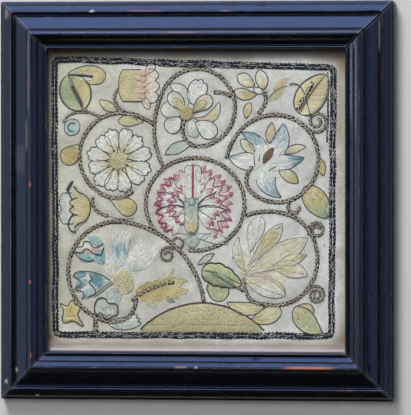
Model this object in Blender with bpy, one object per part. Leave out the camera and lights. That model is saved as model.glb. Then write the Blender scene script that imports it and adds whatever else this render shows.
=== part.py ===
"""A crewel embroidery panel in a moulded wooden frame, lying on its back, face up.

Four mitred lengths of moulding make the frame. The worked linen is one sheet, with its raised
plaited stems and edging, and lies on a plain board in the frame's rebate. +X runs to the right
of the picture, +Y to its top and +Z out of its face. The origin is the middle of the back.
"""
import math

import bmesh
import bpy
from mathutils import Vector

MM = 0.001

# Frame, in millimetres
FRAME_WIDTH = 300.0
FRAME_HEIGHT = 303.0
RAIL_WIDTH = 36.5
REBATE_WIDTH = 8.0
REBATE_DEPTH = 11.0
SIGHT_WIDTH = FRAME_WIDTH - 2 * RAIL_WIDTH
SIGHT_HEIGHT = FRAME_HEIGHT - 2 * RAIL_WIDTH

# The mitres have opened by different amounts as the wood dried; each is the gap across the joint
MITRE_GAP = {"top_left": 0.5, "top_right": 1.1, "bottom_right": 0.4, "bottom_left": 0.4}

# The moulding's face, from the sight edge out: distance from the sight edge, height off the back
MOULDING_FACE = (
    # sight bead, falling to a groove
    (0.0, 15.4), (0.35, 16.5), (1.2, 17.0), (2.4, 16.5), (3.6, 15.4), (4.2, 14.9),
    # first step, then the crest
    (4.7, 16.0), (5.6, 18.4), (6.6, 20.0), (7.4, 20.6), (8.5, 20.2),
    (9.1, 21.3), (9.9, 23.2), (10.8, 24.5), (11.8, 25.0),
    # two narrow fillets parted by a quirk, then a groove
    (13.2, 24.4), (13.5, 23.6), (13.9, 23.9), (15.6, 22.6), (16.1, 20.2), (16.8, 18.4), (17.4, 17.9),
    # broad band, rounded and falling outwards to a quirk
    (18.2, 18.5), (19.6, 18.6), (21.2, 18.0), (22.8, 16.9), (24.3, 15.4), (25.5, 13.8), (26.2, 12.9),
    # outer fillet, then the outer band down to the side
    (26.9, 13.7), (28.1, 16.3), (28.9, 17.0), (30.4, 16.9), (31.0, 16.1), (33.4, 14.0), (35.6, 11.9),
    (36.3, 11.1), (36.5, 10.4),
)

# Sheet and board, in millimetres
CLEARANCE = 0.3
CLOTH_THICKNESS = 1.2
CLOTH_EDGE_GAP = 2.0
CLOTH_CELLS = 22
BOARD_THICKNESS = 5.0
BOARD_EDGE_GAP = 1.0
UNEVENNESS = 0.28
FLAT_MARGIN = 10.0

# Raised stitches, in millimetres
STEM_WIDTH, STEM_HEIGHT = 3.0, 1.0
EDGING_WIDTH, EDGING_HEIGHT = 3.6, 1.15
CURL_WIDTH, CURL_HEIGHT = 2.2, 0.85
STITCH_ROOT = 0.6
STEP_LENGTH = 5.0

# The worked pattern sits a little off the middle of the sheet
WORK_CENTRE = (1.1, 0.5)

# Each stem coils about a flower. Its radius eases from start_radius to radius over the share
# lead of its length, and to end_radius over the last share tail. tall is height over width.
COIL_COLUMNS = ("x", "y", "radius", "tall", "start_deg", "start_radius", "lead",
                "end_deg", "end_radius", "tail")
COILS = {
    "lower_left": (-61.0, -55.0, 38.5, 1.00, -18, 66.6, 0.30, 304, 24.7, 0.13),
    "centre": (-2.0, -3.2, 37.8, 0.93, 214, 37.8, 0.10, -98, 37.8, 0.10),
    "lower_right": (61.0, -44.6, 30.2, 1.15, 131, 37.5, 0.24, -158, 30.5, 0.16),
    "upper_left": (-59.0, 33.4, 31.5, 1.04, 41, 34.3, 0.20, 290, 27.0, 0.15),
    "upper_middle": (-0.4, 70.1, 28.9, 1.02, 236, 48.4, 0.20, -137, 12.6, 0.13),
    "upper_right": (60.9, 31.2, 31.0, 1.06, 180, 39.0, 0.34, -165, 19.5, 0.10),
}

# Small spiral tendrils: place, outer radius, and the angle at which each leaves its stem
TENDRIL_COLUMNS = ("x", "y", "radius", "start_deg")
TENDRILS = (
    (90.9, 58.6, 5.6, 150),
    (91.4, -22.8, 5.2, 150),
    (90.8, -70.4, 6.2, 150),
    (73.6, -5.4, 4.4, 60),
    (-22.2, -42.4, 5.0, 60),
)
TENDRIL_TURN = 400
TENDRIL_INNER = 0.35

# Short plaited stems and leaf ribs, each one bend from its start to its end
SPRAY_COLUMNS = ("start_x", "start_y", "bend_x", "bend_y", "end_x", "end_y")
SPRAYS = {
    "bud_stem": (-79.5, 62.0, -92.0, 71.0, -99.0, 60.5),
    "tulip_stem": (-61.5, 84.5, -67.0, 76.0, -62.5, 67.5),
    "bell_stem": (-80.5, 2.5, -81.5, -9.5, -68.5, -12.5),
    "sprig_stem": (49.5, 80.0, 53.0, 71.5, 45.5, 65.5),
    "narcissus_curl": (25.5, 79.5, 19.0, 82.5, 10.5, 82.0),
    "root_stem": (-79.0, -88.0, -80.0, -94.0, -78.6, -100.5),
    "ragged_leaf_rib": (-49.5, -74.0, -38.0, -66.5, -18.5, -62.5),
    "vine_leaf_rib": (33.0, -69.0, 24.0, -64.0, 12.5, -55.5),
    "heart_leaf_rib": (74.5, 68.5, 80.0, 80.0, 89.0, 90.0),
    "round_leaf_rib": (-88.0, 71.5, -91.0, 79.5, -96.5, 85.5),
}

# Corners of the edging, which was worked by eye and is not square
EDGING_CORNERS = ((-108.3, 105.7), (101.8, 99.4), (100.2, -103.4), (-107.4, -103.6))
EDGING_ROUND = 4.0


def clear_scene():
    for item in list(bpy.data.objects):
        bpy.data.objects.remove(item, do_unlink=True)


def finish_of(name, colour, roughness):
    material = bpy.data.materials.new(name)
    material.use_nodes = True
    shader = material.node_tree.nodes["Principled BSDF"]
    shader.inputs["Base Color"].default_value = (*colour, 1.0)
    shader.inputs["Roughness"].default_value = roughness
    shader.inputs["Metallic"].default_value = 0.0
    return material


def object_from(bm, name, material):
    mesh = bpy.data.meshes.new(name)
    bm.to_mesh(mesh)
    bm.free()
    mesh.materials.append(material)
    made = bpy.data.objects.new(name, mesh)
    bpy.context.scene.collection.objects.link(made)
    return made


def face_outwards(bm):
    """Faces that already agree with each other are all turned to face out."""
    if bm.calc_volume(signed=True) < 0:
        bmesh.ops.reverse_faces(bm, faces=bm.faces[:])


def shade_round(made, degrees):
    made.data.shade_smooth()
    made.data.set_sharp_from_angle(angle=math.radians(degrees))


def moulding_section():
    """The closed outline of the moulding: its face, its side, its back and the rebate."""
    face = list(MOULDING_FACE)
    side_and_back = [(RAIL_WIDTH, 0.0), (REBATE_WIDTH, 0.0)]
    rebate = [(REBATE_WIDTH, REBATE_DEPTH), (0.0, REBATE_DEPTH)]
    return face + side_and_back + rebate


def make_rail(name, sight_length, sight_offset, turn_deg, left_gap, right_gap, material):
    """One mitred length, made along X with its sight edge facing -Y, then turned into place."""
    bm = bmesh.new()
    section = moulding_section()
    back_off_left = left_gap / 2 * math.sqrt(2)
    back_off_right = right_gap / 2 * math.sqrt(2)
    left_end = []
    right_end = []
    for u, z in section:
        left_x = -(sight_length / 2 + u - back_off_left)
        right_x = sight_length / 2 + u - back_off_right
        left_end.append(bm.verts.new((left_x * MM, u * MM, z * MM)))
        right_end.append(bm.verts.new((right_x * MM, u * MM, z * MM)))
    count = len(section)
    for index in range(count):
        following = (index + 1) % count
        bm.faces.new(
            (left_end[index], right_end[index], right_end[following], left_end[following])
        )
    bm.faces.new(left_end)
    bm.faces.new(list(reversed(right_end)))
    face_outwards(bm)
    rail = object_from(bm, name, material)
    shade_round(rail, 25)
    turn = math.radians(turn_deg)
    rail.rotation_euler.z = turn
    rail.location = Vector((-math.sin(turn), math.cos(turn), 0.0)) * sight_offset * MM
    return rail


def make_frame(material):
    gap = MITRE_GAP
    wide, high = SIGHT_WIDTH, SIGHT_HEIGHT
    rails = (
        ("rail_top", wide, high / 2, 0, gap["top_left"], gap["top_right"]),
        ("rail_left", high, wide / 2, 90, gap["bottom_left"], gap["top_left"]),
        ("rail_bottom", wide, high / 2, 180, gap["bottom_right"], gap["bottom_left"]),
        ("rail_right", high, wide / 2, 270, gap["top_right"], gap["bottom_right"]),
    )
    for name, length, offset, turn, left, right in rails:
        make_rail(name, length, offset, turn, left, right, material)


def cloth_top():
    """The level of the flat cloth's face, just clear of the rebate's ledge."""
    return REBATE_DEPTH - CLEARANCE


def cloth_height(x, y):
    """The cloth's face at a place: nearly flat, with the slack and pull that stitching leaves."""
    inside = min(SIGHT_WIDTH / 2 - abs(x), SIGHT_HEIGHT / 2 - abs(y))
    fade = max(0.0, min(1.0, inside / FLAT_MARGIN))
    wave = math.sin(x / 17.0 + 0.6) * math.cos(y / 21.0) + 0.6 * math.sin((x + 1.7 * y) / 29.0)
    return cloth_top() - UNEVENNESS * fade * (1.0 - 0.6 * wave)


def make_sheet(material):
    """The linen as a grid over the board, thickened downwards."""
    wide = SIGHT_WIDTH + 2 * (REBATE_WIDTH - CLOTH_EDGE_GAP)
    high = SIGHT_HEIGHT + 2 * (REBATE_WIDTH - CLOTH_EDGE_GAP)
    bm = bmesh.new()
    bmesh.ops.create_grid(bm, x_segments=CLOTH_CELLS, y_segments=CLOTH_CELLS, size=0.5)
    for vertex in bm.verts:
        x, y = vertex.co.x * wide, vertex.co.y * high
        vertex.co = Vector((x, y, cloth_height(x, y))) * MM
    sheet = object_from(bm, "embroidered_cloth", material)
    solidify = sheet.modifiers.new("thickness", "SOLIDIFY")
    solidify.thickness = CLOTH_THICKNESS * MM
    solidify.offset = -1.0
    return sheet


def eased_radius(coil, share):
    lead_in = max(0.0, 1.0 - share / coil["lead"]) ** 2
    run_out = max(0.0, (share - 1.0 + coil["tail"]) / coil["tail"]) ** 2
    return (
        coil["radius"]
        + (coil["start_radius"] - coil["radius"]) * lead_in
        + (coil["end_radius"] - coil["radius"]) * run_out
    )


def coil_path(coil):
    sweep = math.radians(coil["end_deg"] - coil["start_deg"])
    steps = max(6, round(abs(sweep) * coil["radius"] / STEP_LENGTH))
    path = []
    for step in range(steps + 1):
        share = step / steps
        angle = math.radians(coil["start_deg"]) + sweep * share
        reach = eased_radius(coil, share)
        x = coil["x"] + reach * math.cos(angle)
        y = coil["y"] + reach * math.sin(angle) * coil["tall"]
        path.append((x, y))
    return path


def spray_path(spray):
    path = []
    start = Vector((spray["start_x"], spray["start_y"]))
    bend = Vector((spray["bend_x"], spray["bend_y"]))
    end = Vector((spray["end_x"], spray["end_y"]))
    steps = max(2, round((end - start).length / STEP_LENGTH))
    for step in range(steps + 1):
        share = step / steps
        spot = start * (1 - share) ** 2 + bend * 2 * share * (1 - share) + end * share**2
        path.append(tuple(spot))
    return path


def tendril_path(tendril, steps=13):
    path = []
    for step in range(steps + 1):
        share = step / steps
        angle = math.radians(tendril["start_deg"] + TENDRIL_TURN * share)
        reach = tendril["radius"] * (1.0 - (1.0 - TENDRIL_INNER) * share)
        path.append((tendril["x"] + reach * math.cos(angle), tendril["y"] + reach * math.sin(angle)))
    return path


def edging_path():
    """Round the four corners, each turned by a short arc, and back to the start."""
    path = []
    count = len(EDGING_CORNERS)
    for index, corner in enumerate(EDGING_CORNERS):
        here = Vector(corner)
        before = (Vector(EDGING_CORNERS[index - 1]) - here).normalized()
        after = (Vector(EDGING_CORNERS[(index + 1) % count]) - here).normalized()
        for share in (0.0, 0.5, 1.0):
            leave = here + before * EDGING_ROUND * (1 - share) ** 2 + after * EDGING_ROUND * share**2
            path.append(tuple(leave))
        middle = (here + Vector(EDGING_CORNERS[(index + 1) % count])) / 2
        path.append(tuple(middle))
    return path


def ridge(name, path, width, height, closed, material):
    """A half-round ridge swept along the path, rooted in the cloth, kept as a joining shape."""
    section = (
        (-0.50, -STITCH_ROOT), (-0.40, 0.62 * height), (0.0, height),
        (0.40, 0.62 * height), (0.50, -STITCH_ROOT),
    )
    count = len(path)
    bm = bmesh.new()
    rings = []
    for index, (x, y) in enumerate(path):
        if closed:
            before, after = path[index - 1], path[(index + 1) % count]
        else:
            before, after = path[max(index - 1, 0)], path[min(index + 1, count - 1)]
        along = Vector((after[0] - before[0], after[1] - before[1])).normalized()
        across = Vector((-along.y, along.x))
        ring = []
        place = Vector((x, y)) + Vector(WORK_CENTRE)
        level = cloth_height(place.x, place.y)
        for side, rise in section:
            spot = place + across * side * width
            ring.append(bm.verts.new(Vector((spot.x, spot.y, level + rise)) * MM))
        rings.append(ring)
    links = list(zip(rings, rings[1:] + rings[:1])) if closed else list(zip(rings, rings[1:]))
    sides = len(section)
    for ring, following in links:
        for side in range(sides):
            other = (side + 1) % sides
            bm.faces.new((ring[side], ring[other], following[other], following[side]))
    if not closed:
        bm.faces.new(rings[0])
        bm.faces.new(list(reversed(rings[-1])))
    bmesh.ops.recalc_face_normals(bm, faces=bm.faces[:])
    made = object_from(bm, name, material)
    made.hide_render = True
    made.display_type = "WIRE"
    return made


def raise_stitches(sheet, material):
    """Joins every plaited stem, tendril, leaf rib and the edging to the sheet as one solid."""
    shapes = []
    for order, (name, row) in enumerate(COILS.items()):
        coil = dict(zip(COIL_COLUMNS, row))
        # Each stem is a hair taller than the one before, so that no two meet in one plane
        height = STEM_HEIGHT + 0.03 * order
        shapes.append(ridge(f"stem_{name}", coil_path(coil), STEM_WIDTH, height, False, material))
    for order, row in enumerate(TENDRILS):
        tendril = dict(zip(TENDRIL_COLUMNS, row))
        path = tendril_path(tendril)
        shapes.append(ridge(f"tendril_{order}", path, CURL_WIDTH, CURL_HEIGHT, False, material))
    for order, (name, row) in enumerate(SPRAYS.items()):
        spray = dict(zip(SPRAY_COLUMNS, row))
        height = CURL_HEIGHT + 0.02 + 0.01 * order
        shapes.append(ridge(name, spray_path(spray), CURL_WIDTH, height, False, material))
    edging = ridge("edging", edging_path(), EDGING_WIDTH, EDGING_HEIGHT, True, material)
    for shape in [*shapes, edging]:
        join = sheet.modifiers.new(shape.name, "BOOLEAN")
        join.operation = "UNION"
        join.solver = "EXACT"
        join.object = shape


def make_board(material):
    wide = SIGHT_WIDTH + 2 * (REBATE_WIDTH - BOARD_EDGE_GAP)
    high = SIGHT_HEIGHT + 2 * (REBATE_WIDTH - BOARD_EDGE_GAP)
    lowest_cloth = cloth_top() - 1.6 * UNEVENNESS - CLOTH_THICKNESS
    top = lowest_cloth - CLEARANCE
    bm = bmesh.new()
    bmesh.ops.create_cube(bm, size=1.0)
    size = Vector((wide, high, BOARD_THICKNESS))
    middle = Vector((0.0, 0.0, top - BOARD_THICKNESS / 2))
    for vertex in bm.verts:
        vertex.co = (vertex.co * size + middle) * MM
    return object_from(bm, "backboard", material)


def main():
    clear_scene()
    black_paint = finish_of("ebonised_wood", (0.006, 0.006, 0.009), 0.32)
    linen = finish_of("embroidered_linen", (0.56, 0.53, 0.46), 0.9)
    pine = finish_of("pine_board", (0.32, 0.20, 0.10), 0.75)
    make_frame(black_paint)
    sheet = make_sheet(linen)
    raise_stitches(sheet, linen)
    make_board(pine)


main()
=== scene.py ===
"""Finishes a crewel embroidery panel in an ebonised frame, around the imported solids.

The frame's four mouldings, the linen and every stitch on it are worked out here as surfaces, in
millimetres, and turned to metres as each mesh is made. The panel lies on its back: +X is the
picture's right, +Y its top, +Z out of its face.
"""
import math
from functools import partial

import bpy
import numpy as np
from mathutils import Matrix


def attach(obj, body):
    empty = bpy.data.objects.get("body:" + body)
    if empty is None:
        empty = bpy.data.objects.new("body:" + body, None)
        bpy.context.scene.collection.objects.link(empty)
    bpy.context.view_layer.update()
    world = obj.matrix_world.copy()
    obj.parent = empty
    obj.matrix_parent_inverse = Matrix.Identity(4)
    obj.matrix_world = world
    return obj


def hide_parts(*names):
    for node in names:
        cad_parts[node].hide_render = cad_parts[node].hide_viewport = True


MM = 0.001
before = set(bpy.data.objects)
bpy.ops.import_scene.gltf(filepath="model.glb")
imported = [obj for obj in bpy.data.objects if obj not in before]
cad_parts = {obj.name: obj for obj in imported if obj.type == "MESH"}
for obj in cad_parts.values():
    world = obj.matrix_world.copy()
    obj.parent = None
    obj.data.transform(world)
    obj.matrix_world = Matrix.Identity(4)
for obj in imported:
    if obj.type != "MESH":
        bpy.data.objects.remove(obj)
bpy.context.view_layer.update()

# Frame, as built in the solids, in millimetres
FRAME_WIDTH, FRAME_HEIGHT, RAIL_WIDTH = 300.0, 303.0, 36.5
SIGHT_WIDTH = FRAME_WIDTH - 2 * RAIL_WIDTH
SIGHT_HEIGHT = FRAME_HEIGHT - 2 * RAIL_WIDTH
REBATE_WIDTH, REBATE_DEPTH = 8.0, 11.0
MITRE_GAP = {"top_left": 0.5, "top_right": 1.1, "bottom_right": 0.4, "bottom_left": 0.4}
# The face as (distance from the sight edge, height), a little finer than in the solids
MOULDING_FACE = (
    # sight bead, falling to a groove
    (0.0, 16.6), (0.3, 17.8), (1.0, 18.4), (1.9, 18.2), (2.7, 17.4), (3.2, 16.9),
    # two slopes of about 39 degrees with a steep riser between, then the crest
    (3.6, 17.2), (5.2, 18.5), (6.9, 19.9), (7.1, 21.0), (7.5, 21.5),
    (9.2, 22.9), (10.8, 24.2), (11.0, 24.8), (11.5, 25.0),
    # a quirk, a fillet falling outwards, then a shallow foot
    (12.1, 24.5), (12.4, 23.9), (12.8, 24.0), (14.2, 22.9), (15.0, 21.4),
    (15.6, 19.8), (16.1, 19.0), (16.6, 18.9),
    # broad band, rounded and falling outwards to a quirk
    (17.4, 18.7), (18.6, 18.3), (20.0, 17.8), (21.6, 17.1), (23.2, 16.2), (24.8, 15.1), (26.1, 14.1),
    # a steep riser to the outer fillet, then the outer band down to its arris
    (26.6, 14.2), (27.0, 15.4), (27.4, 16.4), (28.2, 16.9), (29.4, 16.7),
    (30.0, 16.1), (31.4, 15.2), (32.8, 14.3), (33.9, 13.4), (34.6, 12.5),
    # a narrow ledge below the arris
    (34.8, 11.9), (35.1, 11.6), (36.2, 11.5), (36.5, 11.2),
)
# Rubbed and chipped places, and painted highlights and painted reflections: which length, how far
# along it and out from the sight edge, half sizes
MARK_COLUMNS = ("length", "along", "out", "half_long", "half_wide", "shade", "strength")
WEAR_AND_PAINTED_LIGHT = (
    ("bottom", 87.0, 10.9, 17.5, 1.0, "#b0683c", 1.0),
    ("bottom", -10.5, 10.8, 4.5, 0.8, "#96685a", 0.8),
    ("bottom", 1.2, 11.0, 1.2, 0.9, "#b5b0aa", 0.9),
    # Painted highlight: a thin pale line the whole length of the top crest
    ("top", 0.0, 12.7, 118.0, 0.4, "#72737c", 0.5),
    ("top", -10.0, 12.5, 12.0, 0.5, "#8a5148", 0.6),
    # Painted highlight: a thin pale line the whole length of the top's first step
    ("top", 10.0, 7.2, 110.0, 0.4, "#5d5f6a", 0.4),
    ("top", -39.0, 29.0, 13.0, 0.6, "#824c40", 0.7),
    ("top", 22.5, 29.0, 4.0, 0.6, "#824c40", 0.6),
    ("top", -79.2, 29.0, 1.3, 0.9, "#c4c0ba", 1.0),
    ("left", 142.0, 31.5, 3.2, 1.6, "#8f909a", 0.6),
    ("left", 12.6, 12.2, 1.8, 0.9, "#b0704a", 0.9),
    ("left", -61.7, 12.2, 1.4, 0.9, "#b0704a", 0.9),
    ("left", -117.5, 11.4, 1.6, 0.9, "#a8643c", 0.9),
    ("left", 50.5, 15.2, 12.0, 1.0, "#8f9092", 0.55),
    # Painted highlight on the left fillet near the top, then a thin painted highlight line along the left's
    # outer band
    ("left", 97.0, 13.7, 31.0, 1.1, "#6f6c76", 0.6),
    ("left", 10.0, 28.2, 128.0, 0.4, "#767c88", 0.45),
    ("left", 31.5, 20.6, 11.0, 3.6, "#48464a", 0.55),
    ("left", -129.0, 23.7, 1.2, 1.0, "#c4c0ba", 0.9),
    ("left", -138.0, 32.0, 1.3, 1.3, "#c4c0ba", 0.9),
    ("bottom", -121.5, 33.5, 1.3, 1.0, "#c4c0ba", 0.9),
    ("right", 127.0, 7.0, 11.0, 0.5, "#9b9da8", 0.7),
    ("right", 126.0, 25.6, 12.0, 0.6, "#8d8f98", 0.6),
    # Painted highlight along the right crest, then painted reflections of the sky on the right's inner slopes
    ("right", 20.0, 11.2, 60.0, 0.4, "#5d5f6a", 0.4),
    ("right", 20.0, 5.2, 92.0, 1.1, "#3c4252", 0.6),
    ("right", 20.0, 8.9, 96.0, 1.1, "#3c4252", 0.5),
    ("right", 92.0, 4.6, 30.0, 0.5, "#8f96a6", 0.6),
    ("right", 86.0, 8.6, 36.0, 0.5, "#868ea0", 0.6),
)

# Cloth, as in the solids, but with the thickness of the linen alone
CLEARANCE, LINEN_THICKNESS, CLOTH_EDGE_GAP = 0.3, 0.5, 2.0
UNEVENNESS, FLAT_MARGIN = 0.28, 10.0
CLOTH_WIDTH = SIGHT_WIDTH + 2 * (REBATE_WIDTH - CLOTH_EDGE_GAP)
CLOTH_HEIGHT = SIGHT_HEIGHT + 2 * (REBATE_WIDTH - CLOTH_EDGE_GAP)

# The worked pattern sits a little off the middle of the sheet. All its places are from here.
WORK_CENTRE = np.array((1.1, 0.5))
COIL_COLUMNS = ("x", "y", "radius", "tall", "start_deg", "start_radius", "lead",
                "end_deg", "end_radius", "tail")
COILS = {
    "lower_left": (-61.0, -55.0, 38.5, 1.00, -19, 69.6, 0.30, 304, 24.7, 0.13),
    "centre": (-2.0, -3.2, 37.8, 0.93, 214, 37.8, 0.10, -98, 37.8, 0.10),
    "lower_right": (61.0, -44.6, 30.2, 1.15, 131, 37.5, 0.24, -112, 31.8, 0.16),
    "upper_left": (-59.0, 33.4, 31.5, 1.04, 41, 34.3, 0.20, 290, 27.0, 0.15),
    "upper_middle": (-0.4, 70.1, 28.9, 1.02, 240, 51.2, 0.22, -137, 12.6, 0.13),
    "upper_right": (60.9, 31.2, 31.0, 1.06, 180, 39.0, 0.34, -165, 19.5, 0.10),
}
TENDRIL_COLUMNS = ("x", "y", "start_deg", "turn_deg", "outer", "inner", "width")
TENDRILS = (
    (90.7, 59.6, 212, 590, 9.0, 2.2, 2.3),
    (90.7, -22.8, 215, -560, 6.6, 2.4, 2.2),
    (90.2, -71.9, 148, -780, 7.4, 1.4, 1.8),
    (74.4, -5.6, 138, 240, 6.2, 2.6, 2.6),
    (-23.1, -41.9, 40, 500, 6.4, 2.2, 1.9),
    (-15.3, -32.8, 215, 350, 4.3, 3.9, 1.8),
)
SPRAY_COLUMNS = ("start_x", "start_y", "bend_x", "bend_y", "end_x", "end_y", "width")
SPRAYS = {
    "round_leaf_stem": (-73.5, 63.2, -83.0, 65.6, -87.6, 69.6, 1.8),
    "bud_stem": (-84.0, 66.2, -99.5, 68.5, -103.0, 58.5, 1.8),
    "tulip_stem": (-60.6, 85.2, -68.5, 74.5, -56.0, 67.2, 2.2),
    "branch_strand": (-46.0, 61.0, -58.0, 70.5, -75.0, 62.0, 2.0),
    "bell_stem": (-80.5, 2.0, -82.5, -9.5, -68.5, -12.5, 2.4),
    "sprig_stem": (50.3, 82.2, 55.5, 75.0, 46.0, 65.2, 3.0),
    "narcissus_curl": (26.0, 78.5, 19.5, 82.5, 12.0, 81.6, 2.8),
    "lily_stem": (49.6, -78.9, 35.6, -78.5, 35.2, -59.0, 2.8),
    "root_stem": (-78.5, -87.5, -78.0, -94.0, -78.6, -101.0, 3.6),
    "ragged_leaf_rib": (-50.5, -77.0, -36.0, -64.6, -17.8, -62.4, 3.0),
}
EDGING_CORNERS = ((-110.0, 107.2), (103.2, 100.3), (101.8, -102.8), (-109.1, -102.8))
EDGING_ROUND = 4.0
STEM_WIDTH, STEM_RISE, STEM_PERIOD = 3.0, 1.1, 3.9
EDGING_WIDTH, EDGING_RISE, EDGING_PERIOD = 2.3, 1.2, 3.7

# Yarn shades, as sRGB
YARN = {
    "white": "#dfe1da", "snow": "#e6e8e4", "pearl": "#e2e0cd", "cream": "#ded9b9",
    "straw": "#d1caa3", "ochre": "#cabe8d", "gold": "#bfae79", "olive": "#bdb58a",
    "sage": "#c2c7a4", "green": "#a6b28d", "moss": "#a29b74", "teal": "#688679",
    "mist": "#c1cac2", "ice": "#c3d1d2", "sky": "#9db9c0", "blue": "#769ca6",
    "deep_blue": "#527b85", "crimson": "#a94e6b", "rose": "#cfa3b2", "blush": "#dac4b3",
    "russet": "#7a5650", "aqua": "#b3cfc5", "bark": "#352d25", "old_gold": "#a3967b",
    "pale_gold": "#b5ac97", "slate": "#525655", "smoke": "#8b8e8e", "umber": "#88744f",
    "indigo": "#131517", "dusk": "#303335", "storm": "#aeb0ad", "pink": "#cfae9e",
}

# Every stitch is a course of this many stations. Fillings use thread of this width, and work in
# each higher layer lies this much over the last, in millimetres
STATIONS, THREAD, LAYER_RISE = 5, 0.74, 0.34

RNG = np.random.default_rng(1704)


# Small helpers

def linear(hex_colour):
    """An sRGB hex colour as linear red, green and blue."""
    values = np.array([int(hex_colour[i:i + 2], 16) for i in (1, 3, 5)]) / 255
    return np.where(values <= 0.04045, values / 12.92, ((values + 0.055) / 1.055) ** 2.4)


def named_row(columns, row):
    """A table's row as a dictionary, by the names of its columns."""
    return dict(zip(columns, row))


def drift(x, y, size, seed):
    """Smooth random relief about 1 high: six plane waves of about this size, turned and shifted."""
    random = np.random.default_rng(seed)
    total = np.zeros_like(x, dtype=float)
    for _ in range(6):
        turn, phase = random.uniform(0, 2 * math.pi, 2)
        wave = 2 * math.pi / (size * random.uniform(0.7, 1.5))
        total += np.sin((x * math.cos(turn) + y * math.sin(turn)) * wave + phase)
    return total / 3


def free_of_rebate(x, y):
    """0 under the rebate and 1 where the cloth is free to be uneven."""
    inside = np.minimum(SIGHT_WIDTH / 2 - np.abs(x), SIGHT_HEIGHT / 2 - np.abs(y))
    return np.clip(inside / FLAT_MARGIN, 0, 1)


def cloth_level(x, y):
    """Height of the cloth's face: the solid's gentle waves, which die out towards the rebate."""
    wave = np.sin(x / 17 + 0.6) * np.cos(y / 21) + 0.6 * np.sin((x + 1.7 * y) / 29)
    return REBATE_DEPTH - CLEARANCE - UNEVENNESS * free_of_rebate(x, y) * (1 - 0.6 * wave)


def grid_faces(rows, columns, wrap_rows=False, wrap_columns=False):
    """Quads joining a grid of rows by columns of points."""
    down = rows if wrap_rows else rows - 1
    over = columns if wrap_columns else columns - 1
    r, c = np.meshgrid(np.arange(down), np.arange(over), indexing="ij")
    r_next, c_next = (r + 1) % rows, (c + 1) % columns
    corners = (r * columns + c, r * columns + c_next, r_next * columns + c_next, r_next * columns + c)
    return np.stack(corners, axis=-1).reshape(-1, 4)


def nearness(paths, cells=150, reach=2.6):
    """A grid over the cloth that says how near each place is to these lines: exp(-(gap / reach)**2),
    where gap is the distance in millimetres to the nearest point of a line."""
    share = np.linspace(-0.5, 0.5, cells + 1)
    x, y = np.meshgrid(share * CLOTH_WIDTH, share * CLOTH_HEIGHT)
    points = np.concatenate(paths) + WORK_CENTRE
    gap = np.full(x.shape, 1e9)
    for some in np.array_split(points, 40):
        away = (x[..., None] - some[:, 0]) ** 2 + (y[..., None] - some[:, 1]) ** 2
        gap = np.minimum(gap, away.min(axis=-1))
    return np.exp(-gap / reach**2)


def sampled(field, x, y):
    """A grid's value between its points, by bilinear interpolation."""
    last = field.shape[0] - 1
    across = np.clip((x / CLOTH_WIDTH + 0.5) * last, 0, last - 0.001)
    up = np.clip((y / CLOTH_HEIGHT + 0.5) * last, 0, last - 0.001)
    column, row = across.astype(int), up.astype(int)
    over, above = across - column, up - row
    lower = field[row, column] * (1 - over) + field[row, column + 1] * over
    upper = field[row + 1, column] * (1 - over) + field[row + 1, column + 1] * over
    return lower * (1 - above) + upper * above


def worked_level(x, y, pull):
    """The cloth's level once it is worked: broad and small puckers, and a valley along the stems."""
    pucker = 0.26 * drift(x, y, 17, 5) + 0.10 * drift(x, y, 6.5, 6)
    # Slack cloth rolls up a little against the bottom length, past a shallow hollow
    up = y + SIGHT_HEIGHT / 2
    roll = 1.1 * np.exp(-((up - 0.8) / np.where(up < 0.8, 0.5, 0.9)) ** 2)
    hollow = 0.35 * np.exp(-((up - 4.2) / 1.5) ** 2)
    ends = np.clip((SIGHT_WIDTH / 2 - np.abs(x)) / 3, 0, 1)
    puckered = free_of_rebate(x, y) * (pucker - 0.30 * sampled(pull, x, y))
    return cloth_level(x, y) + puckered + ends * (roll - hollow)


def mesh_piece(name, points, faces, material, extra_faces=()):
    """A smooth-shaded mesh piece from points in millimetres and an array of faces."""
    mesh = bpy.data.meshes.new(name)
    mesh.from_pydata(np.asarray(points) * MM, [], [*np.asarray(faces).tolist(), *extra_faces])
    mesh.update()
    mesh.materials.append(material)
    mesh.shade_smooth()
    piece = bpy.data.objects.new(name, mesh)
    bpy.context.scene.collection.objects.link(piece)
    return piece


def give_uv(piece, name, per_point):
    """Copies one pair of numbers a point to a UV map of that name."""
    layer = piece.data.uv_layers.new(name=name)
    corner = np.empty(len(piece.data.loops), dtype=np.int32)
    piece.data.loops.foreach_get("vertex_index", corner)
    layer.data.foreach_set("uv", np.asarray(per_point, dtype=np.float32)[corner].ravel())


def give_value(piece, name, per_point):
    """Stores one number a point."""
    layer = piece.data.attributes.new(name, "FLOAT", "POINT")
    layer.data.foreach_set("value", np.asarray(per_point, dtype=np.float32))


def give_colour(piece, name, per_point, share=1.0):
    """Stores one linear colour a point, with a share from 0 to 1 beside it."""
    layer = piece.data.color_attributes.new(name, "FLOAT_COLOR", "POINT")
    solid = np.column_stack((per_point, np.broadcast_to(share, len(per_point))))
    layer.data.foreach_set("color", solid.astype(np.float32).ravel())


# Materials

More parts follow.
